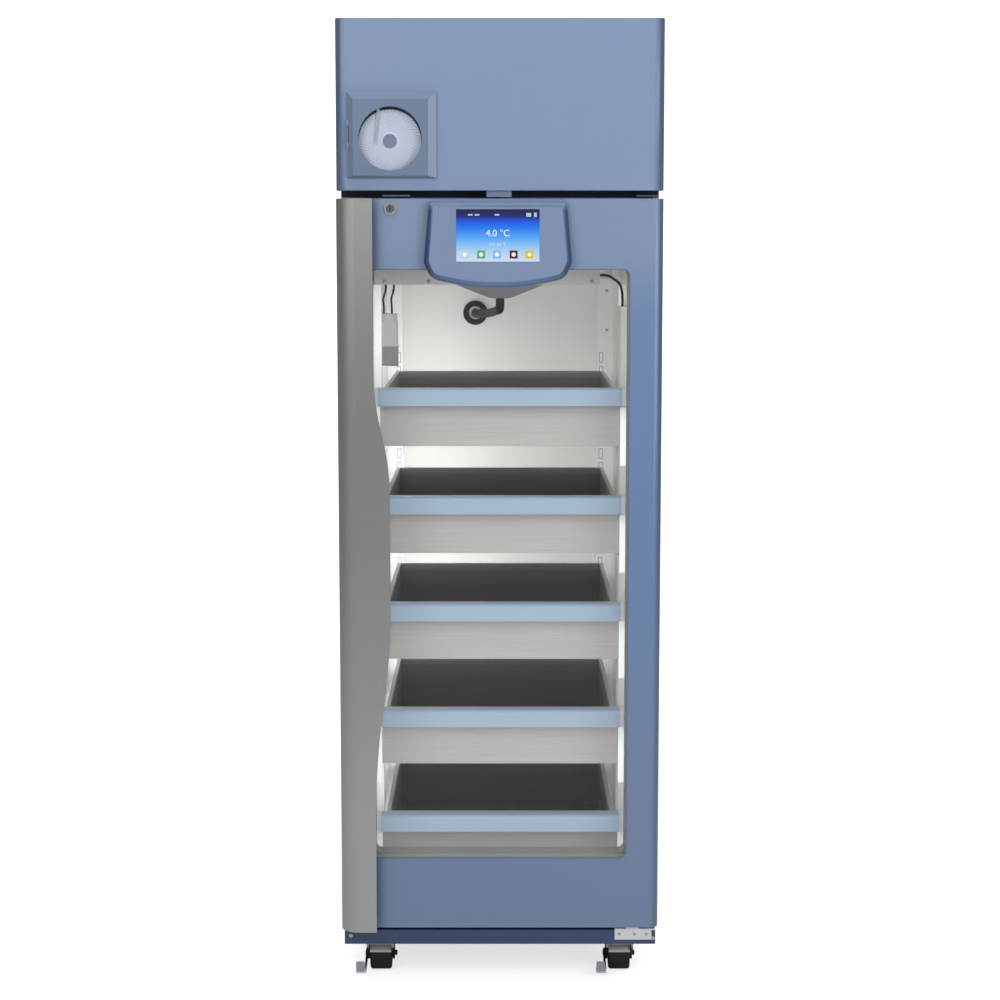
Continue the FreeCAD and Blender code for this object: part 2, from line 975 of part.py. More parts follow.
door_x = (front_x[0] + S.wing_thickness, front_x[1])
door_z = (door_bottom, door_top)
pan_back = door_back - S.inner_frame_thickness
glass_x = grown(window_x, S.glass_overlap)
glass_z = grown(window_z, S.glass_overlap)
glass_y = (front + S.glass_setback, front + S.glass_setback + 2 * S.glass_pane + S.glass_cavity)
reveal_x = grown(glass_x, S.running_gap)
reveal_z = grown(glass_z, S.running_gap)
cam_room_x = (lock_x - S.cam_width, lock_x + S.cam_length + 4)
cam_room_z = (lock_z - S.cam_width, door_top + 1)


def pin_bores(body, radius):
    """The hinge pins' holes through the lower and upper edges of the door."""
    depth = S.hinge_pin_depth + 1
    bore = [((hinge_x, hinge_y), radius)]
    pocket(body, "xy", (door_bottom - 1, door_bottom + depth), [], bore)
    pocket(body, "xy", (door_top - depth, door_top + 1), [], bore)


def make_door_shell():
    body = new_body("door_shell_body")
    pad(body, "xy", door_z, [front_rounded(door_x, (front, pan_back), S.front_corner_radius)])
    inside = front_rounded(
        grown(door_x, -S.sheet),
        (front + S.sheet, pan_back + S.sheet),
        S.front_corner_radius - S.sheet,
    )
    pocket(body, "xy", grown(door_z, -S.sheet), [inside])
    tube = [
        rectangle(grown(reveal_x, S.sheet), grown(reveal_z, S.sheet)),
        rectangle(reveal_x, reveal_z),
    ]
    pad(body, "xz", (front + S.sheet, pan_back), tube)
    opening = rounded_rectangle(window_x, window_z, S.window_corner)
    pocket(body, "xz", (front - S.sheet, front + 2 * S.sheet), [opening])
    barrel = [((lock_x, lock_z), S.lock_radius + S.pin_clearance)]
    pocket(body, "xz", (front - S.sheet, front + 2 * S.sheet), [], barrel)
    pin_bores(body, S.hinge_pin_radius + S.pin_clearance)
    slot = rectangle(cam_room_x, grown(cam_y, 2))
    pocket(body, "xy", (door_top - 2 * S.sheet, door_top + S.sheet), [slot])
    return node("door_shell", body)


def make_door_foam():
    body = new_body("door_foam_body")
    outline = front_rounded(
        grown(door_x, -S.sheet), (front + S.sheet, pan_back), S.front_corner_radius - S.sheet
    )
    pad(body, "xy", grown(door_z, -S.sheet), [outline])
    hole = rectangle(grown(reveal_x, S.sheet), grown(reveal_z, S.sheet))
    pocket(body, "xz", (front, door_back), [hole])
    barrel = [((lock_x, lock_z), S.lock_radius + S.pin_clearance)]
    pocket(body, "xz", (front, cam_y[0] - 2), [], barrel)
    pocket(body, "xy", cam_room_z, [rectangle(cam_room_x, grown(cam_y, 2))])
    pin_bores(body, S.hinge_pin_radius + 1)
    return node("door_foam", body)


def make_door_inner_frame():
    body = new_body("door_inner_frame_body")
    neck = grown(window_x, -S.bead_reveal)
    neck_z = grown(window_z, -S.bead_reveal)
    plate = [rectangle(door_x, door_z), rounded_rectangle(neck, neck_z, S.window_corner)]
    pad(body, "xz", (pan_back, door_back), plate)
    wall = [
        rectangle(glass_x, glass_z),
        rounded_rectangle(neck, neck_z, S.window_corner),
    ]
    pad(body, "xz", (glass_y[1], pan_back), wall)
    return node("door_inner_frame", body)


def make_door_glass():
    """Outer and inner panes, parted by a spacer bar round the edge."""
    panes = [
        block("outer_pane", glass_x, (glass_y[0], glass_y[0] + S.glass_pane), glass_z),
        block("inner_pane", glass_x, (glass_y[1] - S.glass_pane, glass_y[1]), glass_z),
    ]
    return node("door_glass", group("door_glass", *panes))


def make_glass_spacer():
    body = new_body("glass_spacer_body")
    inner_x = grown(glass_x, -S.glass_overlap)
    inner_z = grown(glass_z, -S.glass_overlap)
    span = grown(glass_y, -S.glass_pane)
    ring = [rectangle(glass_x, glass_z), rectangle(inner_x, inner_z)]
    pad(body, "xz", span, ring)
    return body


def make_door_seals():
    """The glazing bead, the spacer bar in the glazing unit and the magnetic seal."""
    bead = new_body("glazing_bead_body")
    inner = rounded_rectangle(
        grown(window_x, -S.bead_reveal), grown(window_z, -S.bead_reveal), S.window_corner
    )
    pad(bead, "xz", (front + S.sheet, glass_y[0]), [rectangle(glass_x, glass_z), inner])
    seal = new_body("magnetic_seal_body")
    inner_x = grown(chamber_x, S.seal_offset)
    inner_z = grown(chamber_z, S.seal_offset)
    ring = [
        rectangle(grown(inner_x, S.seal_width), grown(inner_z, S.seal_width)),
        rectangle(inner_x, inner_z),
    ]
    pad(seal, "xz", (door_back, face), ring)
    return node("door_seals", group("door_seals", bead, make_glass_spacer(), seal))


def flank_radius(rise, run):
    """The radius of each of two equal arcs that step sideways by rise over run."""
    return (rise * rise / 4 + run * run / 4) / rise


def make_door_handle():
    """A full-height wing of sheet: a leg on the door's edge, a bend, and a free edge that
    swells to a grip at hand height."""
    body = new_body("door_handle_body")
    wall = S.wing_thickness
    left = front_x[0]
    proud = front - S.handle_projection
    reach = left + S.wing_width + S.wing_bulge
    bend_y = proud + S.wing_bend
    leg_y = front + S.wing_leg
    bend_x = left + S.wing_bend
    inner = S.wing_bend - wall
    section = [
        (left, leg_y),
        (left, bend_y, (S.wing_bend, bend_x, bend_y, 1)),
        (bend_x, proud),
        (reach, proud),
        (reach, proud + wall),
        (bend_x, proud + wall, (inner, bend_x, bend_y, -1)),
        (left + wall, bend_y),
        (left + wall, leg_y),
    ]
    pad(body, "xy", door_z, [section])
    low = door_bottom + S.wing_bulge_centre - S.wing_bulge_flat / 2
    high = low + S.wing_bulge_flat
    slim = left + S.wing_width
    half = S.wing_bulge / 2
    upper = flank_radius(S.wing_bulge, S.wing_upper_flank)
    lower = flank_radius(S.wing_bulge, S.wing_lower_flank)
    start = low - S.wing_lower_flank
    end = high + S.wing_upper_flank
    beyond = reach + 20
    waste = [
        (beyond, door_z[0] - 10),
        (beyond, door_z[1] + 10),
        (slim, door_z[1] + 10),
        (slim, end, (upper, slim + upper, end, 1)),
        (slim + half, high + S.wing_upper_flank / 2, (upper, reach - upper, high, -1)),
        (reach, high),
        (reach, low, (lower, reach - lower, low, -1)),
        (slim + half, low - S.wing_lower_flank / 2, (lower, slim + lower, start, 1)),
        (slim, start),
        (slim, door_z[0] - 10),
    ]
    pocket(body, "xz", (proud - 1, front - 1), [waste])
    return node("door_handle", body)


def make_monitor():
    """The housing is slightly wider below, with a sagging lower edge, big soft lower corners
    and a bullnose all round its face. The touch screen sits flush in its well."""
    body = new_body("monitor_housing_body")
    centre = S.monitor_offset
    top = door_top - S.monitor_top_drop
    proud = front - S.monitor_depth
    high = S.monitor_top_width / 2
    wide = S.monitor_low_width / 2
    corner = S.monitor_corner_width / 2
    side_z = top - S.monitor_side_drop
    corner_z = top - S.monitor_corner_drop
    radius = (corner * corner + S.monitor_sag * S.monitor_sag) / (2 * S.monitor_sag)
    outline = [
        (centre - high, top),
        (centre - wide, side_z),
        (centre - corner, corner_z, (radius, centre, corner_z - S.monitor_sag + radius, 1)),
        (centre + corner, corner_z),
        (centre + wide, side_z),
        (centre + high, top),
    ]
    pad(body, "xz", (proud, front), [outline])

    def stands_low(edge):
        ends = [vertex.Point for vertex in edge.Vertexes]
        upright = len(ends) == 2 and abs(ends[0].y - ends[1].y) > float(S.monitor_depth) / 2
        return upright and ends[0].z < float(middle((side_z, top)))

    round_edges(body, S.monitor_corner_radius, stands_low)
    round_edges(
        body,
        S.monitor_edge_radius,
        lambda edge: all(abs(vertex.Y - float(proud)) < 0.01 for vertex in edge.Vertexes),
    )
    screen_x = around(centre, S.screen_width)
    screen_top = top - S.screen_top_drop
    screen_z = (screen_top - S.screen_height, screen_top)
    well = [rectangle(grown(screen_x, 0.2), grown(screen_z, 0.2))]
    pocket(body, "xz", (proud - 1, proud + S.screen_thickness), well)
    port_z = around(top - S.port_drop, S.port_height)
    right = centre + wide
    port_y = around(front - S.monitor_depth / 2, S.port_height / 3)
    pocket(body, "yz", (right - S.port_height, right + S.port_height), [rectangle(port_y, port_z)])
    node("monitor_housing", body)
    pane = block("monitor_screen", screen_x, (proud, proud + S.screen_thickness), screen_z)
    node("monitor_screen", pane)


def make_lock():
    span = (front - S.lock_projection, front + S.lock_depth)
    barrel = rod("barrel_outer", "y", span, (lock_x, lock_z), S.lock_radius)
    bore = rod("barrel_bore", "y", grown(span, 1), (lock_x, lock_z), S.plug_radius)
    node("lock_barrel", cut("lock_barrel", barrel, bore))
    plug_y = (span[0] + 0.5, cam_y[0])
    plug = rod(
        "plug_core", "y", plug_y, (lock_x, lock_z), S.plug_radius - S.pin_clearance
    )
    keyway = block(
        "plug_keyway",
        around(lock_x, size(2)),
        (plug_y[0] - 1, plug_y[0] + 9),
        around(lock_z, size(9)),
    )
    turned = cut("plug_turned", plug, keyway)
    cam = new_body("lock_cam_body")
    half = S.cam_width / 2
    outline = [
        (lock_x, lock_z - half),
        (lock_x + S.cam_length - 3, lock_z - half),
        (lock_x + S.cam_length, lock_z),
        (lock_x + S.cam_length - 3, lock_z + half),
        (lock_x, lock_z + half),
    ]
    pad(cam, "xz", cam_y, [outline])
    pad(cam, "xz", cam_y, [], [((lock_x, lock_z), half)])
    return node("lock_plug", fuse("lock_plug", turned, cam))


make_door_shell()
make_door_foam()
make_door_inner_frame()
make_door_glass()
make_door_seals()
make_door_handle()
make_monitor()
make_lock()


# Drawers on wall rails

pilaster_inner = chamber_x[1] - S.tray_side_gap + S.rail_depth + 3
rail_y = (
    face + S.pilaster_front - 2,
    chamber_y[1] - S.pilaster_rear_gap - S.pilaster_width,
)


def drawer_top(number):
    return chamber_bottom + S.first_drawer_top - number * S.drawer_pitch


def rail_centre(number):
    return drawer_top(number) - S.drawer_height / 2


def make_drawer_rails():
    """Front and rear pilasters on the liner carry a channel for every drawer, and a plate in
    front of each channel closes the space beside the drawer."""
    pieces = []
    wall = chamber_x[1]
    rail_x = (pilaster_inner - S.rail_depth, pilaster_inner)
    rear_stop = chamber_y[1] - S.pilaster_rear_gap
    rear_y = (rear_stop - S.pilaster_width, rear_stop)
    front_y = (face + S.pilaster_front, face + S.pilaster_front + S.pilaster_width)
    pilaster_z = (chamber_z[0], chamber_z[1] - S.cooler_height)
    rear_inner = pilaster_inner - S.rear_pilaster_stand
    for place, inner, span in (("front", pilaster_inner, front_y), ("rear", rear_inner, rear_y)):
        outer = block(f"pilaster_{place}_bar", (inner, wall), span, pilaster_z)
        core = block(
            f"pilaster_{place}_core",
            (inner + S.rail_steel, wall + 1),
            grown(span, -S.rail_steel),
            grown(pilaster_z, 1),
        )
        channel = cut(f"pilaster_{place}_right", outer, core)
        pieces += [channel, mirrored_x(f"pilaster_{place}_left", channel)]
    for number in range(int(S.drawer_count.number)):
        z = around(rail_centre(number), S.rail_height)
        span = rail_y
        outer = block(f"rail_{number}_bar", rail_x, span, z)
        groove = block(
            f"rail_{number}_groove",
            (rail_x[0] - 1, rail_x[1] - S.rail_steel),
            (span[0] - 1, span[1] - S.rail_steel),
            grown(z, -S.rail_steel * 2),
        )
        channel = cut(f"rail_{number}_right", outer, groove)
        pieces += [channel, mirrored_x(f"rail_{number}_left", channel)]
        plate_top = drawer_top(number) - S.side_plate_drop
        plate = block(
            f"side_plate_{number}_right",
            (pilaster_inner + 2, wall),
            (face + S.side_plate_setback, face + S.side_plate_setback + S.rail_steel),
            (plate_top - S.side_plate_height, plate_top),
        )
        pieces += [plate, mirrored_x(f"side_plate_{number}_left", plate)]
    return node("drawer_rails", group("drawer_rails", *pieces))


def make_drawer(number):
    top = drawer_top(number)
    low = top - S.drawer_height
    front_y = face + S.drawer_setback + S.grip_depth
    tray_x = grown(chamber_x, -S.tray_side_gap)
    tray_y = (front_y + S.drawer_sheet, front_y + S.drawer_depth)
    tag = f"drawer_{number + 1}"
    body = new_body(f"{tag}_tray_body")
    pad(body, "xy", (low, top), [rectangle(tray_x, tray_y)])
    panel_x = grown(chamber_x, -S.panel_side_gap)
    panel_z = (low, top - S.grip_height)
    pad(body, "xz", (front_y, front_y + S.drawer_sheet), [rectangle(panel_x, panel_z)])
    upper_z = (low, top)
    pad(body, "xz", (front_y, front_y + S.drawer_sheet), [rectangle(tray_x, upper_z)])
    rim_y = (tray_y[0], tray_y[1] + S.drawer_rim)
    pad(body, "xy", (top - S.drawer_sheet, top), [rectangle(grown(tray_x, S.drawer_rim), rim_y)])
    inside = rectangle(grown(tray_x, -S.drawer_sheet), (tray_y[0], tray_y[1] - S.drawer_sheet))
    pocket(body, "xy", (low + S.drawer_sheet, top + 1), [inside])
    runner_z = around(rail_centre(number), S.rail_height - 4 * S.rail_steel - 2 * S.rail_play)
    runner_y = (rail_y[0], tray_y[1] - 2)
    runner_end = pilaster_inner - S.rail_steel - S.rail_play
    runner = rectangle((tray_x[1], runner_end), runner_z)
    other = rectangle((-runner_end, tray_x[0]), runner_z)
    pad(body, "xz", runner_y, [runner, other])
    node(f"{tag}_tray", body)

    grip = new_body(f"{tag}_handle_body")
    grip_y = (face + S.drawer_setback, front_y)
    grip_z = (top - S.grip_height, top)
    wall = S.grip_wall
    lip = S.grip_lip
    nose = S.grip_nose
    profile = [
        (grip_y[1], grip_z[1]),
        (grip_y[0] + nose, grip_z[1], (nose, grip_y[0] + nose, grip_z[1] - nose, 1)),
        (grip_y[0], grip_z[1] - nose),
        (grip_y[0], grip_z[0]),
        (grip_y[0] + lip, grip_z[0]),
        (grip_y[0] + lip, grip_z[0] + wall),
        (grip_y[0] + wall, grip_z[0] + wall),
        (grip_y[0] + wall, grip_z[1] - nose),
        (grip_y[0] + nose, grip_z[1] - wall),
        (grip_y[1] - wall, grip_z[1] - wall),
        (grip_y[1] - wall, grip_z[0]),
        (grip_y[1], grip_z[0]),
    ]
    grip_x = grown(chamber_x, -S.grip_side_gap)
    pad(grip, "yz", grip_x, [profile])
    cap_outline = rectangle(grip_y, grip_z)
    for span in ((grip_x[1], grip_x[1] + S.grip_cap), (grip_x[0] - S.grip_cap, grip_x[0])):
        pad(grip, "yz", span, [cap_outline])
    node(f"{tag}_handle", grip)


make_drawer_rails()
for number in range(int(S.drawer_count.number)):
    make_drawer(number)


# Chamber fittings: cooler under the ceiling, drip funnel and hose, lamp, probe bottle

cooler_x = (chamber_x[0] + S.cooler_left_gap, chamber_x[1] - S.cooler_right_gap)
cooler_y = (face + S.cooler_setback, face + S.cooler_setback + S.cooler_depth)
cooler_z = (chamber_z[1] - S.cooler_height, chamber_z[1])
fan_centre = (middle(cooler_x), cooler_y[0] + S.cooler_fan_setback)
funnel_x = around(size(0), S.funnel_width)
funnel_y = (cooler_y[1] - 10 - S.funnel_depth, cooler_y[1] - 10)
funnel_top = cooler_z[0]
grommet_z = chamber_z[1] - S.grommet_drop


def blade_shape(radius, hub, count, height):
    """A hub with twisted blades, each a ruled face between two slanted chords, thickened."""
    solids = [Part.makeCylinder(hub, height)]
    for step in range(count):
        turn = 360 * step / count
        lean = height * 0.42
        root = hub * 0.8
        inner = Part.makeLine(
            FreeCAD.Vector(root, -hub * 0.6, height / 2 - lean),
            FreeCAD.Vector(root, hub * 0.6, height / 2 + lean),
        )
        outer = Part.makeLine(
            FreeCAD.Vector(radius, -radius * 0.36, height / 2 - lean * 0.6),
            FreeCAD.Vector(radius * 0.9, radius * 0.42, height / 2 + lean * 0.6),
        )
        face_sheet = Part.makeRuledSurface(inner, outer)
        blade = face_sheet.extrude(FreeCAD.Vector(0, 0, 1.6))
        blade.rotate(FreeCAD.Vector(), FreeCAD.Vector(0, 0, 1), turn)
        solids.append(blade)
    return solids[0].multiFuse(solids[1:])


def make_cooler():
    body = new_body("cooler_housing_body")
    pad(body, "xy", cooler_z, [rectangle(cooler_x, cooler_y)])
    inside = rectangle(grown(cooler_x, -S.cover_sheet), grown(cooler_y, -S.cover_sheet))
    pocket(body, "xy", (cooler_z[0] + S.cover_sheet, cooler_z[1] + 1), [inside])
    floor = (cooler_z[0] - 1, cooler_z[0] + S.cover_sheet + 1)
    pocket(body, "xy", floor, [], [(fan_centre, S.cooler_fan_radius + S.fan_ring_gap)])
    spoke = S.cooler_fan_radius + S.fan_ring_gap + 2
    guard = (cooler_z[0], cooler_z[0] + S.cover_sheet)
    bar = rectangle(around(fan_centre[0], 2 * spoke), around(fan_centre[1], S.guard_bar))
    pad(body, "xy", guard, [bar])
    bar = rectangle(around(fan_centre[0], S.guard_bar), around(fan_centre[1], 2 * spoke))
    pad(body, "xy", guard, [bar])
    pad(body, "xy", guard, [], [(fan_centre, S.guard_hub)])
    shaft = (guard[1], guard[1] + S.evaporator_fan_lift - 0.3)
    pad(body, "xy", shaft, [], [(fan_centre, S.guard_hub / 2)])
    rear_slot = rectangle(grown(cooler_x, -S.coil_side_gap), grown(cooler_z, -S.coil_rear_gap))
    pocket(body, "xz", (cooler_y[1] - S.cover_sheet - 1, cooler_y[1] + 1), [rear_slot])
    node("cooler_housing", body)
    fan = placed(
        "evaporator_fan",
        blade_shape(float(S.cooler_fan_radius), 20.0, 5, 16.0),
        (fan_centre[0], fan_centre[1], cooler_z[0] + S.cover_sheet + S.evaporator_fan_lift),
    )
    node("evaporator_fan", fan)


def finned_block(name, x, y, z, count):
    """A tube block crossed by thin upright fins."""
    core = block(f"{name}_core", grown(x, -2), grown(y, -8), grown(z, -8))
    pitch = (x[1] - x[0]) / count
    fins = []
    for step in range(int(count.number) + 1):
        place = x[0] + step * pitch
        fins.append(block(f"{name}_fin_{step}", around(place, size(1.2)), y, z))
    return fuse(name, core, *fins)


machine_x = cabinet_x[1] - S.machine_gap - S.condenser_width / 2
condenser_x = around(machine_x, S.condenser_width)
condenser_y = (back - S.machine_gap - S.condenser_depth, back - S.machine_gap)
condenser_z = (box_top, box_top + S.condenser_height)


def make_finned_coils():
    coil = finned_block("condenser_coil", condenser_x, condenser_y, condenser_z, S.condenser_fins)
    motor_y = (condenser_y[0] - S.fan_motor_length, condenser_y[0] + 10)
    motor_at = (middle(condenser_x), middle(condenser_z))
    motor = rod("condenser_motor", "y", motor_y, motor_at, S.fan_motor_radius)
    condenser = fuse("condenser_unit", coil, motor)
    coil_rear = cooler_y[1] - S.coil_rear_gap
    evaporator = finned_block(
        "evaporator_coil",
        grown(cooler_x, -S.coil_side_gap),
        (coil_rear - S.coil_depth, coil_rear),
        (cooler_z[0] + S.cover_sheet, cooler_z[1] - S.coil_top_gap),
        S.condenser_fins,
    )
    return node("finned_coils", group("finned_coils", condenser, evaporator))


def make_drip_funnel():
    body = new_body("drip_funnel_body")
    outlet_x = around(size(0), S.funnel_outlet)
    outlet_y = around(middle(funnel_y), S.funnel_outlet)
    rim = (funnel_top - 3, funnel_top)
    pad(body, "xy", rim, [rectangle(funnel_x, funnel_y)])
    low = funnel_top - S.funnel_drop
    loft(
        body,
        "xy",
        (low, rectangle(outlet_x, outlet_y)),
        (rim[0], rectangle(grown(funnel_x, -4), grown(funnel_y, -4))),
    )
    return node("drip_funnel", body)


def tube(name, points, radius):
    """A hose or lead: straight runs joined by arcs as large as the runs allow."""
    points = [FreeCAD.Vector(*[float(place) for place in point]) for point in points]
    edges = []
    start = points[0]
    for before, corner, after in zip(points, points[1:], points[2:]):
        back_way = (before - corner).normalize()
        onward = (after - corner).normalize()
        shorter = min((before - corner).Length, (after - corner).Length)
        trim = 0.45 * shorter
        turn = math.pi - back_way.getAngle(onward)
        bend = trim / math.tan(turn / 2)
        print(f"{name}: bend radius {bend:.1f}")
        arc_start = corner + back_way * trim
        arc_end = corner + onward * trim
        bisector = (back_way + onward).normalize()
        centre = corner + bisector * math.hypot(trim, bend)
        arc_middle = centre - bisector * bend
        edges.append(Part.LineSegment(start, arc_start).toShape())
        edges.append(Part.Arc(arc_start, arc_middle, arc_end).toShape())
        start = arc_end
    edges.append(Part.LineSegment(start, points[-1]).toShape())
    path = Part.Wire(edges)
    direction = (points[1] - points[0]).normalize()
    ring = Part.Wire([Part.Circle(points[0], direction, float(radius)).toShape()])
    solid = path.makePipeShell([ring], True, True)
    expected = math.pi * float(radius) ** 2 * path.Length
    print(f"{name}: length {path.Length:.0f}, volume ratio {solid.Volume / expected:.4f}")
    piece = doc.addObject("Part::Feature", name)
    piece.Shape = solid
    return piece


def make_drain_hose():
    exit_z = funnel_top - S.funnel_drop
    exit_y = middle(funnel_y)
    wall = chamber_y[1]
    hose = tube(
        "drain_hose_tube",
        [
            (0, exit_y, exit_z),
            (0, exit_y, exit_z - 24),
            (-24, (exit_y + wall) / 2, grommet_z + 4),
            (S.grommet_offset, wall - 48, grommet_z),
            (S.grommet_offset, wall, grommet_z),
        ],
        S.hose_radius,
    )
    ring = rod(
        "grommet_ring",
        "y",
        (wall - 8, wall),
        (S.grommet_offset, grommet_z),
        S.grommet_radius,
    )
    hole = rod(
        "grommet_hole",
        "y",
        (wall - 9, wall + 1),
        (S.grommet_offset, grommet_z),
        S.grommet_bore,
    )
    return node("drain_hose", group("drain_hose", hose, cut("drain_grommet", ring, hole)))


lamp_x = (chamber_x[1] - S.lamp_thickness, chamber_x[1])
lamp_y = (face + S.lamp_setback, face + S.lamp_setback + S.lamp_width)
lamp_z = (chamber_z[1] - S.lamp_top_drop - S.lamp_length, chamber_z[1] - S.lamp_top_drop)


def make_chamber_lamp():
    body = new_body("chamber_lamp_body")
    chamfer = 4
    outline = [
        (lamp_x[1], lamp_y[0]),
        (lamp_x[1], lamp_y[1]),
        (lamp_x[0] + chamfer, lamp_y[1]),
        (lamp_x[0], lamp_y[1] - chamfer),
        (lamp_x[0], lamp_y[0] + chamfer),
        (lamp_x[0] + chamfer, lamp_y[0]),
    ]
    pad(body, "xy", lamp_z, [outline])
    return node("chamber_lamp", body)


bottle_x = (chamber_x[0] + 2, chamber_x[0] + 2 + S.bottle_width)
bottle_y = (face + S.bottle_setback, face + S.bottle_setback + S.bottle_width)
bottle_z = (chamber_z[1] - S.bottle_drop - S.bottle_height, chamber_z[1] - S.bottle_drop)


def make_probe_bottle():
    body = new_body("probe_bottle_body")
    lid_z = bottle_z[1] - S.bottle_lid
    pad(body, "xy", (bottle_z[0], lid_z), [rounded_rectangle(bottle_x, bottle_y, size(6))])
    neck = (middle(bottle_x), middle(bottle_y))
    pad(body, "xy", (lid_z, bottle_z[1]), [], [(neck, S.bottle_width * 0.46)])
    return node("probe_bottle", body)


def make_probe_bracket():
    shelf = block(
        "bottle_shelf",
        (chamber_x[0], bottle_x[1] + 2),
        grown(bottle_y, 2),
        (bottle_z[0] - S.rail_steel, bottle_z[0]),
    )
    flange = block(
        "bottle_flange",
        (chamber_x[0], chamber_x[0] + S.rail_steel),
        grown(bottle_y, 2),
        (bottle_z[0] - S.bracket_drop, bottle_z[0]),
    )
    apron = block(
        "bottle_apron",
        (chamber_x[0], bottle_x[1] + 2),
        (bottle_y[0] - 2, bottle_y[0] - 2 + S.rail_steel),
        (bottle_z[0] - S.bracket_drop, bottle_z[0]),
    )
    return node("probe_bracket", fuse("probe_bracket", shelf, flange, apron))


def make_chamber_leads():
    """Two probe leads from the cooler to the bottle and the lamp's lead, all held at both ends."""
    lid = bottle_z[1]
    top = cooler_z[0]
    leads = []
    for name, across in (("probe_lead_a", -9), ("probe_lead_b", 7)):
        x = middle(bottle_x) + across
        y = middle(bottle_y)
        route = [
            (x + 6, y - 30, top),
            (x + 6, y - 30, top - 14),
            (x - 1, y - 14, top - 32),
            (x, y, top - 44),
            (x, y, lid),
        ]
        leads.append(tube(name, route, size(2)))
    x = middle(lamp_x)
    y = middle(lamp_y)
    route = [
        (cooler_x[1], cooler_y[0] + 12, top + 18),
        (cooler_x[1] + 16, cooler_y[0] + 12, top + 18),
        (x - 4, y + 2, top + 2),
        (x, y, top - 18),
        (x, y, lamp_z[1]),
    ]
    leads.append(tube("lamp_lead", route, size(2.5)))
    return node("chamber_leads", group("chamber_leads", *leads))


make_cooler()
make_finned_coils()
make_drip_funnel()
make_drain_hose()
make_chamber_lamp()
make_probe_bottle()
make_probe_bracket()
make_chamber_leads()


# Machine compartment on top of the insulated box

compressor_at = (machine_x, face + S.compressor_setback)
fan_at = (middle(condenser_x), middle(condenser_z))


def make_compressor():
    body = new_body("compressor_body")
    radius = S.compressor_radius
    low = box_top + S.compressor_lift
    dome = low + S.compressor_height
    pad(body, "xy", (low, dome), [], [(compressor_at, radius)])
    round_edges(body, radius * 0.4, lambda edge: len(edge.Vertexes) == 1)
    base = rectangle(around(compressor_at[0], 2 * radius + 20), around(compressor_at[1], radius))
    pad(body, "xy", (low - 4, low + 8), [base])
    feet = []
    for across in (-1, 1):
        for along in (-1, 1):
            x = compressor_at[0] + across * radius
            y = compressor_at[1] + along * (radius / 2 - 12)
            feet.append(((x, y), S.compressor_foot_radius))
    pad(body, "xy", (box_top, low - 4), [], feet)
    return node("compressor", body)


def make_condenser_fan():
    blades = blade_shape(float(S.condenser_fan_radius), 24.0, 5, float(S.condenser_fan_depth))
    start = condenser_y[0] - S.fan_motor_length - S.condenser_fan_depth - 0.3
    fan = placed("condenser_fan", blades, (fan_at[0], start, fan_at[1]), "y")
    node("condenser_fan", fan)


def make_refrigerant_pipes():
    """Hot gas pipe from the compressor to the condenser, and the suction pipe to the deck."""
    x, y = compressor_at
    low = box_top + S.pipe_lift
    radius = S.compressor_radius
    hot = tube(
        "hot_gas_pipe",
        [
            (x + radius + 0.3, y, low),
            (x + radius + 30, y, low),
            (x + radius + 34, y + 60, low + 12),
            (x + radius + 34, condenser_y[0] - 70, low + 16),
            (condenser_x[1] - 9, condenser_y[0] - 24, low + 18),
            (condenser_x[1] - 9, condenser_y[0] + 8, low + 18),
        ],
        S.hot_pipe_radius,
    )
    cold = tube(
        "suction_pipe",
        [
            (x - radius - 0.3, y, low),
            (x - radius - 24, y, low),
            (x - radius - 44, y + 6, low - 18),
            (x - radius - 46, y + 8, box_top + 18),
            (x - radius - 46, y + 8, box_top),
        ],
        S.suction_pipe_radius,
    )
    return node("refrigerant_pipes", group("refrigerant_pipes", hot, cold))


inlet_x = around(control_x[0] + S.inlet_inset, S.inlet_width)
inlet_z = around(control_z[0] + S.inlet_lift, S.inlet_height)
switch_x = around(control_x[1] - S.switch_inset, S.switch_width)
switch_z = around(control_z[0] + S.inlet_lift, S.switch_height)


def make_control_box():
    body = new_body("control_box_body")
    pad(body, "xz", control_y, [rectangle(control_x, control_z)])
    pocket(body, "xz", (back - S.inlet_depth, back + 1), [rounded_rectangle(inlet_x, inlet_z, size(4))])
    pocket(body, "xz", (back - S.switch_depth, back + 1), [rectangle(switch_x, switch_z)])
    pivot = (back - S.switch_depth / 2, middle(switch_z))
    bore = [(pivot, S.rocker_pin_radius + S.pin_clearance)]
    pocket(body, "yz", grown(switch_x, 2.5), [], bore)
    node("control_box", body)
    rocker = new_body("power_switch_body")
    half = S.rocker_height / 2
    profile = [
        (pivot[0] + 5, pivot[1] - half),
        (pivot[0] + 5, pivot[1]),
        (pivot[0] + 9, pivot[1] + half),
        (pivot[0] + 3, pivot[1] + half),
        (pivot[0] - 2, pivot[1] + 3),
        (pivot[0] - 2, pivot[1] - 3),
        (pivot[0] + 1, pivot[1] - half),
    ]
    pad(rocker, "yz", grown(switch_x, -0.5), [profile])
    pad(rocker, "yz", grown(switch_x, 2), [], [(pivot, S.rocker_pin_radius)])
    return node("power_switch", rocker)


make_compressor()
make_condenser_fan()
make_refrigerant_pipes()
make_control_box()


# Casters: swivel plate, forked body with axle, wheel and a foot brake on the front pair

caster_x = cabinet_x[1] - S.caster_inset
caster_places = {
    "front_left": (-caster_x, front + S.base_setback + S.caster_setback),
    "front_right": (caster_x, front + S.base_setback + S.caster_setback),
    "rear_left": (-caster_x, back - S.caster_setback),
    "rear_right": (caster_x, back - S.caster_setback),
}
swivel_z = S.caster_height - S.caster_plate_steel - S.swivel_height


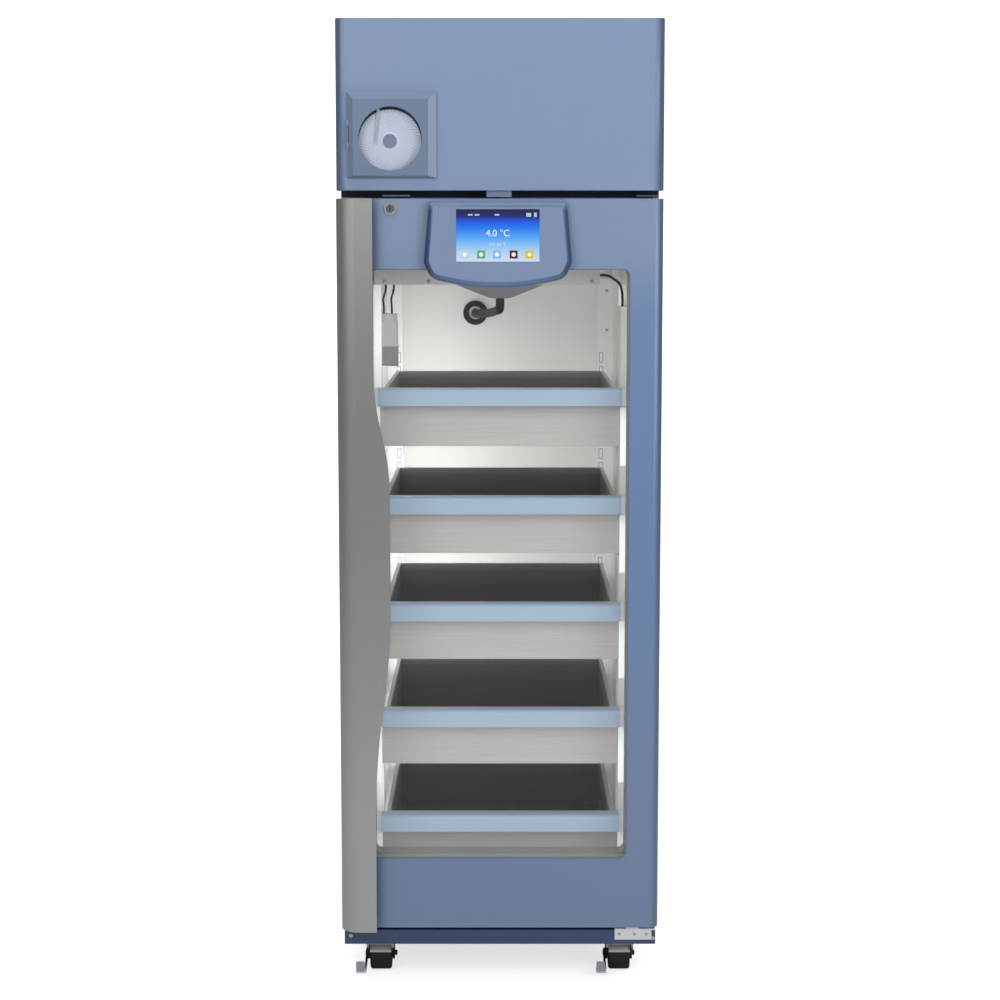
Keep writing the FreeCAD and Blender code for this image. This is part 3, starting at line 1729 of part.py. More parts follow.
def make_caster_plates():
    plates = []
    for place, (x, y) in caster_places.items():
        body = new_body(f"{place}_plate_body")
        square = rounded_rectangle(
            around(x, S.caster_plate), around(y, S.caster_plate), size(6)
        )
        plate_z = (S.caster_height - S.caster_plate_steel, S.caster_height)
        pad(body, "xy", plate_z, [square])
        pad(body, "xy", (swivel_z, plate_z[0]), [], [((x, y), size(22))])
        bore = [((x, y), S.kingpin_radius + S.pin_clearance)]
        pocket(body, "xy", (swivel_z - 1, swivel_z + S.kingpin_length + 1), [], bore)
        plates.append(body)
    return node("caster_plates", group("caster_plates", *plates))


def make_fork(place, x, y):
    body = new_body(f"{place}_fork_body")
    axle = (y + S.caster_trail, S.wheel_radius)
    half = S.wheel_width / 2 + S.fork_side_gap + S.fork_wall
    top = swivel_z - 0.3
    crown = top - 3.5
    boss = S.fork_boss
    leg = [
        (y - 24, top),
        (y - 24, crown - 4),
        (axle[0] - boss, axle[1] - 2),
        (axle[0] - boss / 2, axle[1] - boss),
        (axle[0] + boss / 2, axle[1] - boss),
        (axle[0] + boss, axle[1] - 2),
        (y + 40, crown - 8),
        (y + 36, top),
    ]
    pad(body, "yz", around(x, 2 * half), [leg])
    room = around(x, S.wheel_width + 2 * S.fork_side_gap)
    pocket(body, "xy", (size(0), crown), [rectangle(room, (y - 60, y + 80))])
    pad(body, "yz", grown(around(x, 2 * half), 5), [], [(axle, S.axle_radius)])
    pad(body, "xy", (crown, swivel_z + S.kingpin_length), [], [((x, y), S.kingpin_radius)])
    return node(f"{place}_fork", body)


def make_wheel(place, x, y):
    """A tyre with rounded shoulders on a hub with dished sides."""
    body = new_body(f"{place}_wheel_body")
    axle = (y + S.caster_trail, S.wheel_radius)
    span = around(x, S.wheel_width)
    pad(body, "yz", span, [], [(axle, S.wheel_radius)])
    round_edges(body, size(5), lambda edge: len(edge.Vertexes) == 1)
    for dish in ((span[0] - 1, span[0] + 4), (span[1] - 4, span[1] + 1)):
        pocket(
            body,
            "yz",
            dish,
            [],
            [(axle, S.wheel_radius * 0.66), (axle, S.axle_radius + 5)],
        )
    pocket(body, "yz", grown(span, 1), [], [(axle, S.axle_radius + S.pin_clearance)])
    return node(f"{place}_wheel", body)


def make_brake_lever(place, x, y):
    """A pedal on an eye that turns on the end of the axle."""
    axle = (y + S.caster_trail, S.wheel_radius)
    body = new_body(f"{place}_brake_lever_body")
    side = x - S.wheel_width / 2 - S.fork_side_gap - S.fork_wall
    plate = (side - 0.3 - S.lever_steel, side - 0.3)
    arm = [
        (axle[0] - 9, axle[1] + 2),
        (axle[0] - 58, axle[1] - 12),
        (axle[0] - 62, axle[1] - 20),
        (axle[0] - 40, axle[1] - 20),
        (axle[0] + 2, axle[1] - 9),
    ]
    pad(body, "yz", plate, [arm])
    pad(body, "yz", plate, [], [(axle, S.lever_eye_radius)])
    pedal = [
        (axle[0] - 62, axle[1] - 20),
        (axle[0] - 40, axle[1] - 20),
        (axle[0] - 40, axle[1] - 16.5),
        (axle[0] - 58, axle[1] - 12),
    ]
    pad(body, "yz", (plate[0] - S.pedal_width, plate[1]), [pedal])
    bore = [(axle, S.axle_radius + S.pin_clearance)]
    pocket(body, "yz", grown(plate, 1), [], bore)
    return node(f"{place}_brake_lever", body)


make_caster_plates()
for place, (x, y) in caster_places.items():
    make_fork(place, x, y)
    make_wheel(place, x, y)
    if place.startswith("front"):
        make_brake_lever(place, x, y)

doc.recompute()

# Checks before anything is written

failed = [
    thing.Name
    for thing in doc.Objects
    if "Invalid" in thing.State or "Error" in thing.State
]
if failed:
    raise RuntimeError(f"failed: {failed}")
for name, thing in nodes.items():
    if thing.Shape.isNull() or not thing.Shape.isValid():
        raise RuntimeError(f"{name} has no valid shape")

os.makedirs("parts", exist_ok=True)
for name, thing in nodes.items():
    thing.Shape.exportStep(f"parts/{name}.step")
print(f"{len(nodes)} sub-parts written")
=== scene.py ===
import math

import bmesh
import bpy
from mathutils import Matrix, Vector


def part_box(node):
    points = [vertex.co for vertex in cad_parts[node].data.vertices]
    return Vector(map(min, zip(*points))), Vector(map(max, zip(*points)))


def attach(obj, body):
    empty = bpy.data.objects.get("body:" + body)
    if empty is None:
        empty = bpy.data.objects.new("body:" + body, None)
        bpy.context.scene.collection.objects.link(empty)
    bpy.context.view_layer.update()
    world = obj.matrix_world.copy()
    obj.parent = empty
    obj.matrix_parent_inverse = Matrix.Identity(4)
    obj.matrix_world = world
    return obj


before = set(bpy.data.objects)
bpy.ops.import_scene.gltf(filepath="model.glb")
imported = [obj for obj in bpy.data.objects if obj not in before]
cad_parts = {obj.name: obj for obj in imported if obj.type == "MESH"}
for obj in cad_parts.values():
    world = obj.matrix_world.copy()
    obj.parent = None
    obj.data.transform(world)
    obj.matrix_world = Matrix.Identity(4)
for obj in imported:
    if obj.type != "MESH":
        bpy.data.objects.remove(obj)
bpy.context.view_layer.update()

# Insulated box.
# Folded and painted sheet steel, blue-grey, with a faint orange-peel skin in the paint.
# Foam fills the wall behind it, and it stands on the dark base.


def srgb(red, green, blue):
    """Linear colour from the 0 to 255 values that a colour card gives."""
    channels = []
    for value in (red, green, blue):
        value /= 255
        channels.append(value / 12.92 if value < 0.04045 else ((value + 0.055) / 1.055) ** 2.4)
    return tuple(channels)


def fill_input(tree, socket, value):
    """Set an input, or link it to an output; a node stands for its first output."""
    if isinstance(value, bpy.types.Node):
        value = value.outputs[0]
    if isinstance(value, bpy.types.NodeSocket):
        tree.links.new(value, socket)
    else:
        socket.default_value = (*value, 1) if socket.type == "RGBA" else value


def add_node(tree, kind, values=None, **settings):
    """A node with its settings made and its inputs filled."""
    made = tree.nodes.new(kind)
    for key, value in settings.items():
        setattr(made, key, value)
    for label, value in (values or {}).items():
        fill_input(tree, made.inputs[label], value)
    return made


class Finish:
    """A material with its nodes at hand."""

    def __init__(self, name, colour, roughness, metallic=0.0):
        self.material = bpy.data.materials.new(name)
        self.material.use_nodes = True
        self.tree = self.material.node_tree
        self.colour = colour
        self.place = None
        self.give("Base Color", colour)
        self.give("Roughness", roughness)
        self.give("Metallic", metallic)

    def give(self, label, value):
        """Fill an input of the main shader."""
        fill_input(self.tree, self.tree.nodes["Principled BSDF"].inputs[label], value)

    def node(self, kind, values=None, **settings):
        return add_node(self.tree, kind, values, **settings)

    def compute(self, operation, *values):
        """One step of arithmetic on numbers and outputs."""
        return self.node("ShaderNodeMath", dict(enumerate(values)), operation=operation)

    def coordinates(self, stretch=(1, 1, 1), origin=(0, 0, 0)):
        """Object coordinates, stretched and counted from an origin in metres."""
        if self.place is None:
            self.place = self.node("ShaderNodeTexCoord").outputs["Object"]
        shift = [-s * o for s, o in zip(stretch, origin)]
        values = {"Scale": stretch, "Location": shift, "Vector": self.place}
        return self.node("ShaderNodeMapping", values)

    def axes(self, stretch=(1, 1, 1), origin=(0, 0, 0)):
        """The coordinates one by one, as outputs X, Y and Z."""
        place = self.coordinates(stretch, origin)
        return self.node("ShaderNodeSeparateXYZ", {"Vector": place}).outputs

    def reach(self, stretch=(1, 1, 1), origin=(0, 0, 0)):
        """Distance from an origin, or from an axis where the stretch along it is 0."""
        place = self.coordinates(stretch, origin)
        return self.node("ShaderNodeVectorMath", {0: place}, operation="LENGTH").outputs["Value"]

    def noise(self, scale, detail=3.0, stretch=(1, 1, 1)):
        values = {"Scale": scale, "Detail": detail, "Vector": self.coordinates(stretch)}
        return self.node("ShaderNodeTexNoise", values).outputs["Fac"]

    def cells(self, scale):
        values = {"Scale": scale, "Vector": self.coordinates()}
        return self.node("ShaderNodeTexVoronoi", values).outputs["Distance"]

    def beyond(self, axis, start, end):
        """0 up to a place on an Object axis, 1 past another, and a blend between them."""
        span = {"From Min": start, "From Max": end, "Value": self.axes()[axis]}
        return self.node("ShaderNodeMapRange", span)

    def ramp(self, value, *stops):
        """A colour ramp; each stop is a place from 0 to 1 and a linear colour."""
        ramp = self.node("ShaderNodeValToRGB", {"Fac": value})
        steps = ramp.color_ramp.elements
        while len(steps) < len(stops):
            steps.new(0.5)
        for step, (place, colour) in zip(steps, stops):
            step.position = place
            step.color = (*colour, 1)
        return ramp.outputs["Color"]

    def mix(self, share, first, second, **settings):
        """A colour that runs from a first to a second with a share."""
        values = {"Factor": share, "A": first, "B": second}
        return self.node("ShaderNodeMix", values, data_type="RGBA", **settings).outputs["Result"]

    def tint(self, share, first, second):
        """The base colour blends from one colour to another with a share."""
        self.give("Base Color", self.ramp(share, (0.0, first), (1.0, second)))

    def shade(self, value, spread):
        """The base colour varies by a share either way with a texture's value."""
        darker = [channel * (1 - spread) for channel in self.colour]
        lighter = [min(1.0, channel * (1 + spread)) for channel in self.colour]
        self.give("Base Color", self.ramp(value, (0.3, darker), (0.7, lighter)))

    def polish(self, value, low, high):
        """Roughness runs between two values with a texture's value."""
        span = {"To Min": low, "To Max": high, "Value": value}
        self.give("Roughness", self.node("ShaderNodeMapRange", span))

    def bumps(self, value, height, strength=1.0):
        values = {"Distance": height, "Strength": strength, "Height": value}
        self.give("Normal", self.node("ShaderNodeBump", values))

    def glaze(self, weight, roughness=0.03):
        """A clear coat over the colour."""
        self.give("Coat Weight", weight)
        self.give("Coat Roughness", roughness)


def bake(finish, low, high, peel=0.00004, coat_roughness=0.22):
    """The skin of baked paint: uneven gloss, fine orange peel and a thin clear coat."""
    finish.polish(finish.noise(14, 4), low, high)
    finish.bumps(finish.noise(850, 2), peel, 0.6)
    finish.glaze(0.25, coat_roughness)
    return finish.material


def painted(name, colour, roughness=0.38, peel=0.00004):
    """Baked paint on steel, with a slow drift of tone."""
    finish = Finish(name, colour, roughness)
    finish.shade(finish.noise(2.5, 2), 0.025)
    return bake(finish, roughness - 0.06, roughness + 0.08, peel)


def dress(material, *nodes):
    """Give CAD nodes a material of their own in place of the plain one."""
    for name in nodes:
        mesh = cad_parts[name].data
        mesh.materials.clear()
        mesh.materials.append(material)


def round_edges(piece, width, segments=2):
    """A bevel on the sharp edges of a piece."""
    edge = piece.modifiers.new("edges", "BEVEL")
    edge.width = width
    edge.segments = segments
    edge.limit_method = "ANGLE"
    return edge


def soften(width, *nodes):
    """Slightly rounded sheet and moulded edges on CAD nodes, which catch the light."""
    for name in nodes:
        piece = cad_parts[name]
        weld = piece.modifiers.new("joined", "WELD")
        weld.merge_threshold = 0.00001
        edge = round_edges(piece, width)
        edge.angle_limit = math.radians(32)
        edge.harden_normals = True


coat = painted("blue_grey_coat", srgb(127, 148, 182))
dress(coat, "cabinet_shell")
soften(0.0008, "cabinet_shell")


# Foam.
# Rigid polyurethane foam, cream coloured, foamed in place between the skins.
# Its cells show as fine pits.


def make_foam_finish():
    finish = Finish("cream_foam", srgb(226, 214, 170), 0.85)
    finish.shade(finish.noise(30), 0.08)
    finish.bumps(finish.cells(700), 0.0006)
    return finish.material


dress(make_foam_finish(), "foam_insulation", "door_foam")


# Chamber liner and cooler housing.
# White-coated steel tub, welded at the corners, wiped often, so its gloss is uneven.
# The cooler's folded cover hangs from its roof, in a greyer coat that is painted shade.

dress(painted("white_liner_coat", srgb(232, 231, 228), 0.42, 0.00002), "chamber_liner")
# The cooler's grey is painted shade on a white cover.
dress(painted("cooler_shade_coat", srgb(200, 200, 196), 0.42, 0.00002), "cooler_housing")
soften(0.0012, "cooler_housing")


# Base.
# Welded steel plinth in dark navy paint that carries the box and the casters.

dress(painted("navy_base_coat", srgb(48, 69, 105), 0.45), "base_frame")
soften(0.001, "base_frame")


# Header.
# Front cover, side hood and rear panel of the machine compartment, in the same paint
# as the box. The cover is one folded tray with rounded upright corners, and painted shade
# darkens its paint round them.

header_low, header_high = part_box("header_cover")


def corner_shade_share(finish, low, high, reach):
    """Share of painted shade: 0 on a front, 1 round the folded corners at its two sides."""
    left = finish.beyond("X", low.x + reach, low.x + reach * 0.4)
    right = finish.beyond("X", high.x - reach, high.x - reach * 0.4)
    front = finish.beyond("Y", low.y + 0.014, low.y + 0.010)
    return finish.compute("MULTIPLY", finish.compute("MAXIMUM", left, right), front)


def make_header_coat():
    """Painted shade darkens the paint round the folded corners."""
    face = srgb(136, 157, 191)
    finish = Finish("header_coat", face, 0.36)
    # The darker colour round the corners is painted shade.
    share = corner_shade_share(finish, header_low, header_high, 0.020)
    finish.tint(share, face, srgb(84, 102, 134))
    return bake(finish, 0.30, 0.44)


dress(make_header_coat(), "header_cover")
dress(coat, "machine_hood", "rear_grille")
soften(0.0012, "header_cover")
soften(0.0006, "machine_hood", "rear_grille")


# Steel fittings.
# Caster plates and probe bracket are zinc-plated, pale grey with a faint cloudy spangle.
# The hinge plates are bright below the door and painted above it, the rails white.

between_hinges_z = 1.0


def plated(name, colour, roughness=0.34):
    finish = Finish(name, colour, roughness, 0.85)
    finish.shade(finish.noise(60, 4), 0.10)
    finish.polish(finish.cells(260), roughness - 0.08, roughness + 0.14)
    finish.bumps(finish.noise(400, 3), 0.00002)
    return finish.material


def make_hinge_finish():
    """The lower hinge plates stay bright; the plates above the door are painted blue-grey."""
    bright = srgb(222, 224, 226)
    finish = Finish("hinge_plate_finish", bright, 0.36, 0.35)
    upper = finish.beyond("Z", between_hinges_z, between_hinges_z + 0.01)
    finish.tint(upper, bright, srgb(98, 116, 146))
    finish.polish(finish.noise(60, 4), 0.3, 0.44)
    finish.bumps(finish.noise(400, 3), 0.00002)
    return finish.material


dress(plated("zinc_plate", srgb(200, 203, 205)), "caster_plates", "probe_bracket")
dress(painted("pilaster_coat", srgb(234, 235, 233), 0.4), "drawer_rails")
dress(make_hinge_finish(), "hinge_brackets")
soften(0.0005, "hinge_brackets", "caster_plates", "drawer_rails", "probe_bracket")


# Gap strip.
# A length of dark navy foam rubber glued along the front of the box top, so that no light
# comes through under the machine compartment. Its dark navy is also painted shade: it
# stands for the shadow in the gap under the header.


def add_object(name, data):
    """An object in the scene's own collection."""
    made = bpy.data.objects.new(name, data)
    bpy.context.scene.collection.objects.link(made)
    return made


def new_piece(name, mesh, material, body):
    """A finished piece at the origin that rides on a body."""
    piece = add_object(name, mesh)
    if material:
        mesh.materials.clear()
        mesh.materials.append(material)
    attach(piece, body)
    return piece


def mesh_from(name, fill):
    """A mesh filled by a function that is handed an empty bmesh."""
    mesh = bpy.data.meshes.new(name)
    work = bmesh.new()
    fill(work)
    bmesh.ops.recalc_face_normals(work, faces=work.faces)
    work.to_mesh(mesh)
    work.free()
    return mesh


def add_slab(work, low, high):
    """A box between two corners."""
    low, high = Vector(low), Vector(high)
    place = Matrix.Translation((low + high) / 2) @ Matrix.Diagonal((*(high - low), 1))
    return bmesh.ops.create_cube(work, size=1, matrix=place)["verts"]


hood_low, hood_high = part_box("machine_hood")


def fill_gap_strip(work):
    front_y = header_high.y + 0.002
    foot = (hood_low.x + 0.002, front_y, hood_low.z)
    head = (hood_high.x - 0.002, front_y + 0.005, header_low.z + 0.009)
    add_slab(work, foot, head)


# Dark navy foam that also stands in for the shade in the gap.
gap_shade_foam = painted("gap_shade_foam", srgb(34, 46, 68), 0.8, 0.0002)
gap_strip = new_piece("gap_strip", mesh_from("gap_strip", fill_gap_strip), gap_shade_foam, "cabinet")
round_edges(gap_strip, 0.001)


# Door sensor.
# Small moulded magnetic switch under the cover, in paint that matches the door.

dress(painted("sensor_plastic", srgb(128, 146, 176), 0.5), "door_sensor")


# Door skin and its inner frame.
# The outer pan is folded sheet in the blue-grey paint, a little deeper than the header.
# Its change of tone with height, a shadow beside the wing and darker corners are painted
# light and shade.
# The inner frame is a warm grey moulding that carries the magnetic seal.

tone_foot_z, tone_head_z = 0.1, 1.5
wing_shade_x = -0.222


def plastic(name, colour, roughness=0.4, grain=0.00003):
    """Moulded plastic: fine even grain and slight flow marks."""
    finish = Finish(name, colour, roughness)
    finish.shade(finish.noise(9, 2), 0.03)
    finish.polish(finish.noise(120, 3), roughness - 0.05, roughness + 0.07)
    finish.bumps(finish.noise(1500, 1), grain, 0.5)
    return finish.material


def make_door_coat():
    """Painted light and shade: bluer up the stiles, paler on the upper rail, shadowed beside the
    wing and at the corners.
    """
    finish = Finish("door_coat", srgb(112, 134, 170), 0.36)
    # The tone by height is painted light and shade.
    height = finish.ramp(
        finish.beyond("Z", tone_foot_z, tone_head_z),
        (0.0, srgb(113, 132, 165)),
        (0.15, srgb(113, 132, 165)),
        (0.45, srgb(106, 134, 176)),
        (0.85, srgb(110, 139, 180)),
        (0.95, srgb(136, 154, 185)),
    )
    low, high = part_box("door_shell")
    # A painted shadow of the wing on the door, close beside its root.
    wing_shadow_side = finish.beyond("X", wing_shade_x, wing_shade_x - 0.016)
    face = finish.beyond("Y", low.y + 0.004, low.y + 0.002)
    painted_wing_shadow = finish.compute("MULTIPLY", wing_shadow_side, face)
    shaded = finish.mix(painted_wing_shadow, height, srgb(88, 108, 146))
    # Painted shade round the rounded upright corners.
    corners = corner_shade_share(finish, low, high, 0.014)
    finish.give("Base Color", finish.mix(corners, shaded, srgb(84, 104, 136)))
    return bake(finish, 0.30, 0.42, coat_roughness=0.03)


dress(make_door_coat(), "door_shell")
dress(plastic("pale_frame_plastic", srgb(204, 201, 194), 0.5), "door_inner_frame")
soften(0.0008, "door_shell")


# Glass and seals.
# A sealed double-glazed unit, held by a slim blue-grey bead. The spacer bar in it and
# the magnetic seal behind it are pale.


def make_glass(name, tint):
    """Thin clear panes: light passes straight through, and the face reflects a little."""
    finish = Finish(name, tint, 0.02)
    clear = finish.node("ShaderNodeBsdfTransparent", {"Color": tint})
    gloss = finish.node("ShaderNodeBsdfGlossy", {"Roughness": 0.03})
    rim = finish.node("ShaderNodeFresnel", {"IOR": 1.25})
    mix = finish.node("ShaderNodeMixShader", {0: rim, 1: clear, 2: gloss})
    fill_input(finish.tree, finish.tree.nodes["Material Output"].inputs["Surface"], mix)
    finish.give("Alpha", 0.15)
    return finish.material


def make_seal_vinyl():
    """The bead in front of the glass follows the paint; the seal behind is paler."""
    seal = srgb(200, 198, 192)
    finish = Finish("seal_vinyl", seal, 0.55)
    glass_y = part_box("door_glass")[0].y
    behind = finish.beyond("Y", glass_y - 0.0005, glass_y + 0.0005)
    finish.tint(behind, srgb(112, 126, 150), seal)
    finish.bumps(finish.noise(900, 2), 0.00006)
    finish.give("Sheen Weight", 0.1)
    return finish.material


dress(make_glass("door_glazing", (0.992, 0.994, 0.993)), "door_glass")
dress(make_seal_vinyl(), "door_seals")


# Door handle.
# A full-height wing folded from steel sheet and sprayed satin grey with a metallic
# fleck. Its free edge swells to a grip at hand height.

wing_fold_x = -0.284


def make_wing_finish():
    """Painted reflection and shade: the grey runs darker round the grip and along the outer folded
    edge.
    """
    finish = Finish("satin_grey_wing", srgb(150, 150, 150), 0.5, 0.15)
    # The tone by height is painted reflection, darkest round the grip.
    height = finish.ramp(
        finish.beyond("Z", tone_foot_z, tone_head_z),
        (0.0, srgb(166, 167, 168)),
        (0.18, srgb(163, 164, 165)),
        (0.36, srgb(149, 149, 149)),
        (0.54, srgb(138, 138, 137)),
        (0.70, srgb(134, 134, 133)),
        (0.80, srgb(138, 138, 136)),
        (0.90, srgb(150, 150, 147)),
        (1.0, srgb(163, 163, 159)),
    )
    # Painted shade along the outer folded edge, at grip height.
    outward = finish.beyond("X", wing_fold_x, wing_fold_x - 0.008)
    painted_fold_shade = finish.compute("MULTIPLY", outward, finish.beyond("Z", 0.6, 1.4))
    finish.give("Base Color", finish.mix(painted_fold_shade, height, srgb(122, 122, 121)))
    finish.polish(finish.noise(25, 3), 0.46, 0.56)
    finish.bumps(finish.noise(1200, 2), 0.00003, 0.5)
    return finish.material


dress(make_wing_finish(), "door_handle")
soften(0.0009, "door_handle")


# Lock.
# Chromed barrel with a turning plug and keyway in the door's upper rail.


def make_chrome():
    finish = Finish("lock_chrome", srgb(205, 206, 208), 0.14, 1.0)
    finish.polish(finish.noise(300, 3), 0.10, 0.22)
    finish.bumps(finish.noise(900, 2), 0.00001)
    return finish.material


dress(make_chrome(), "lock_barrel")
dress(plated("lock_plug_metal", srgb(116, 118, 116), 0.36), "lock_plug")
soften(0.0006, "lock_barrel")


# Monitor.
# Moulded display housing in dark blue gloss plastic, hung over the upper rail and glass.
# Its bevelled rim is darkened with painted shade, and a small service port sits on the right.


def make_monitor_finish():
    """The face matches the door; painted shade darkens the rim, most of all down its sides."""
    face = srgb(131, 149, 184)
    finish = Finish("monitor_plastic", face, 0.3)
    # Painted shade on the rim, lighter at its foot and head.
    rim = finish.ramp(
        finish.beyond("Z", monitor_low.z, monitor_high.z),
        (0.0, srgb(98, 130, 174)),
        (0.05, srgb(92, 122, 165)),
        (0.2, srgb(54, 76, 116)),
        (0.9, srgb(56, 78, 118)),
        (0.97, srgb(116, 136, 172)),
    )
    behind = finish.beyond("Y", monitor_low.y + 0.00005, monitor_low.y + 0.0004)
    finish.give("Base Color", finish.mix(behind, face, rim))
    finish.polish(finish.noise(12, 2), 0.30, 0.38)
    finish.bumps(finish.noise(900, 1), 0.00001, 0.3)
    finish.glaze(0.15, 0.2)
    return finish.material


monitor_low, monitor_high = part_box("monitor_housing")
dress(make_monitor_finish(), "monitor_housing")
soften(0.0006, "monitor_housing")


# Display.
# A colour panel behind clear plastic: a dark status bar, a blue field that fades to pale
# at the foot, the chamber temperature in white, and a row of touch icons.

screen_low, screen_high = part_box("monitor_screen")
screen_wide = screen_high.x - screen_low.x
screen_tall = screen_high.z - screen_low.z


def glowing(name, colour, strength=1.0):
    finish = Finish(name, (0.0, 0.0, 0.0), 0.2)
    finish.give("Emission Color", colour)
    finish.give("Emission Strength", strength)
    return finish


def make_display():
    finish = glowing("display_panel", (0.1, 0.3, 0.9), 0.9)
    field = finish.ramp(
        finish.axes((1, 1, 1 / screen_tall), screen_low)["Z"],
        (0.0, srgb(216, 234, 252)),
        (0.2, srgb(176, 216, 252)),
        (0.42, srgb(96, 178, 255)),
        (0.62, srgb(36, 132, 252)),
        (0.78, srgb(22, 84, 226)),
        (0.86, srgb(28, 42, 120)),
        (1.0, srgb(22, 28, 74)),
    )
    finish.give("Emission Color", field)
    finish.polish(finish.noise(50, 2), 0.12, 0.2)
    return finish.material


dress(make_display(), "monitor_screen")


def add_front_disc(work, centre, radius, depth, sides=40):
    """A short cylinder that faces the viewer; centre is the middle of its rear face."""
    turn = Matrix.Rotation(math.radians(90), 4, "X")
    place = Matrix.Translation(Vector(centre) - Vector((0, depth / 2, 0))) @ turn
    bmesh.ops.create_cone(
        work,
        cap_ends=True,
        segments=sides,
        radius1=radius,
        radius2=radius,
        depth=depth,
        matrix=place,
    )


def screen_point(across, up):
    """A place on the display, as shares of its width and height from the lower left."""
    return (
        screen_low.x + across * screen_wide,
        screen_low.y - 0.0001,
        screen_low.z + up * screen_tall,
    )


def add_screen_mark(work, across, up, wide, tall):
    x, y, z = screen_point(across, up)
    add_slab(work, (x - wide / 2, y - 0.0002, z - tall / 2), (x + wide / 2, y, z + tall / 2))


def make_reading(text, size, across, up):
    """Digits as a flat mesh just proud of the display."""
    curve = bpy.data.curves.new("reading_text", "FONT")
    curve.body = text
    curve.size = size
    curve.align_x = "CENTER"
    curve.align_y = "CENTER"
    curve.extrude = 0.0001
    holder = add_object("reading_holder", curve)
    bpy.context.view_layer.update()
    graph = bpy.context.evaluated_depsgraph_get()
    mesh = bpy.data.meshes.new_from_object(holder.evaluated_get(graph))
    bpy.data.objects.remove(holder)
    turn = Matrix.Rotation(math.radians(90), 4, "X")
    mesh.transform(Matrix.Translation(screen_point(across, up)) @ turn)
    return mesh


digit_white = glowing("digit_white", srgb(240, 246, 252), 1.0).material
new_piece("temperature_reading", make_reading("4.0 °C", 0.017, 0.5, 0.54), digit_white, "door")
new_piece(
    "range_reading", make_reading("2.0 - 6.0 °C", 0.0065, 0.5, 0.33), digit_white, "door"
)


def fill_status_marks(work):
    for across in (0.17, 0.25, 0.49):
        add_screen_mark(work, across, 0.895, 0.0085, 0.003)
    add_screen_mark(work, 0.87, 0.895, 0.009, 0.007)
    add_screen_mark(work, 0.95, 0.895, 0.005, 0.008)


status_mesh = mesh_from("status_marks", fill_status_marks)
status_green = glowing("status_green", srgb(196, 226, 206), 0.8).material
new_piece("status_marks", status_mesh, status_green, "door")

icon_colours = {
    "icon_home": (0.10, (206, 224, 240)),
    "icon_log": (0.30, (96, 186, 120)),
    "icon_settings": (0.49, (140, 200, 250)),
    "icon_alarm": (0.69, (104, 36, 60)),
    "icon_light": (0.88, (236, 206, 60)),
}
for icon, (across, colour) in icon_colours.items():
    icon_mesh = mesh_from(icon, lambda work: add_screen_mark(work, across, 0.135, 0.015, 0.015))
    icon_piece = new_piece(icon, icon_mesh, glowing(icon, srgb(*colour), 0.85).material, "door")
    round_edges(icon_piece, 0.0035, 3)
    centre = Vector(screen_point(across, 0.135)) - Vector((0, 0.0002, 0))
    sides = 6 if icon == "icon_light" else 24
    glyph_mesh = mesh_from(
        icon + "_glyph", lambda work: add_front_disc(work, centre, 0.0038, 0.00012, sides)
    )
    new_piece(icon + "_glyph", glyph_mesh, digit_white, "door")


# Chart recorder.
# A square case let into the header, with a hinged frame whose broad bevels run down to
# the flange. The round window is cut through it.


def make_bezel_finish():
    finish = Finish("recorder_bezel_coat", srgb(118, 136, 164), 0.33, 0.1)
    finish.shade(finish.noise(12, 3), 0.04)
    finish.polish(finish.noise(80, 3), 0.26, 0.38)
    finish.bumps(finish.noise(900, 2), 0.00003, 0.5)
    finish.glaze(0.3)
    return finish.material


dress(make_bezel_finish(), "recorder_door")
soften(0.0009, "recorder_door")
dress(painted("dark_case_coat", srgb(34, 37, 43), 0.5), "control_box")


def make_case_finish():
    """Dark inside the case; its flange and hinge knuckles in front follow the paint."""
    finish = Finish("recorder_case_coat", srgb(34, 37, 43), 0.45)
    inside = finish.beyond("Y", header_low.y + 0.001, header_low.y + 0.002)
    finish.tint(inside, srgb(112, 130, 158), srgb(30, 34, 42))
    finish.polish(finish.noise(80, 3), 0.38, 0.5)
    finish.bumps(finish.noise(900, 2), 0.00003, 0.5)
    return finish.material


dress(make_case_finish(), "recorder_case")
dress(make_glass("recorder_glazing", (0.985, 0.99, 0.99)), "recorder_window")


# Recorder chart.
# A disc of pale paper printed with fine rings and curved time lines, turned by a
# clock drive. The hub nut is grey plastic.

chart_low, chart_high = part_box("chart_disc")
chart_centre = (chart_low + chart_high) / 2


def make_chart_paper():
    """Rings and bent rays printed thinly in pale blue on white, counted from the spindle."""
    finish = Finish("chart_paper", srgb(228, 232, 240), 0.7)
    compute = finish.compute
    axes = finish.axes(origin=chart_centre)
    reach = finish.reach((1, 0, 1), chart_centre)
    ring = compute("PINGPONG", compute("MULTIPLY", reach, 420.0), 0.5)
    ring_line = compute("LESS_THAN", ring, 0.08)
    bent = compute("ADD", compute("ARCTAN2", axes["Z"], axes["X"]), compute("MULTIPLY", reach, 9.0))
    ray = compute("PINGPONG", compute("MULTIPLY", bent, 28 / math.pi), 0.5)
    ray_line = compute("LESS_THAN", ray, 0.06)
    beyond_hub = compute("GREATER_THAN", reach, 0.017)
    lines = compute("MULTIPLY", compute("MAXIMUM", ring_line, ray_line), beyond_hub)
    paper = finish.mix(lines, srgb(240, 247, 255), srgb(164, 178, 236))
    hub = compute("LESS_THAN", reach, 0.0132)
    finish.give("Base Color", finish.mix(hub, paper, srgb(140, 152, 182)))
    finish.bumps(finish.noise(600, 3), 0.00002)
    return finish.material


dress(make_chart_paper(), "chart_disc")
dress(plated("pen_metal", srgb(204, 196, 204), 0.4), "pen_arm")


# Drawers.
# Trays folded from stainless sheet with a brushed grain along their length, and a moulded
# pale-blue grip along the top of each front, with white caps at its ends.


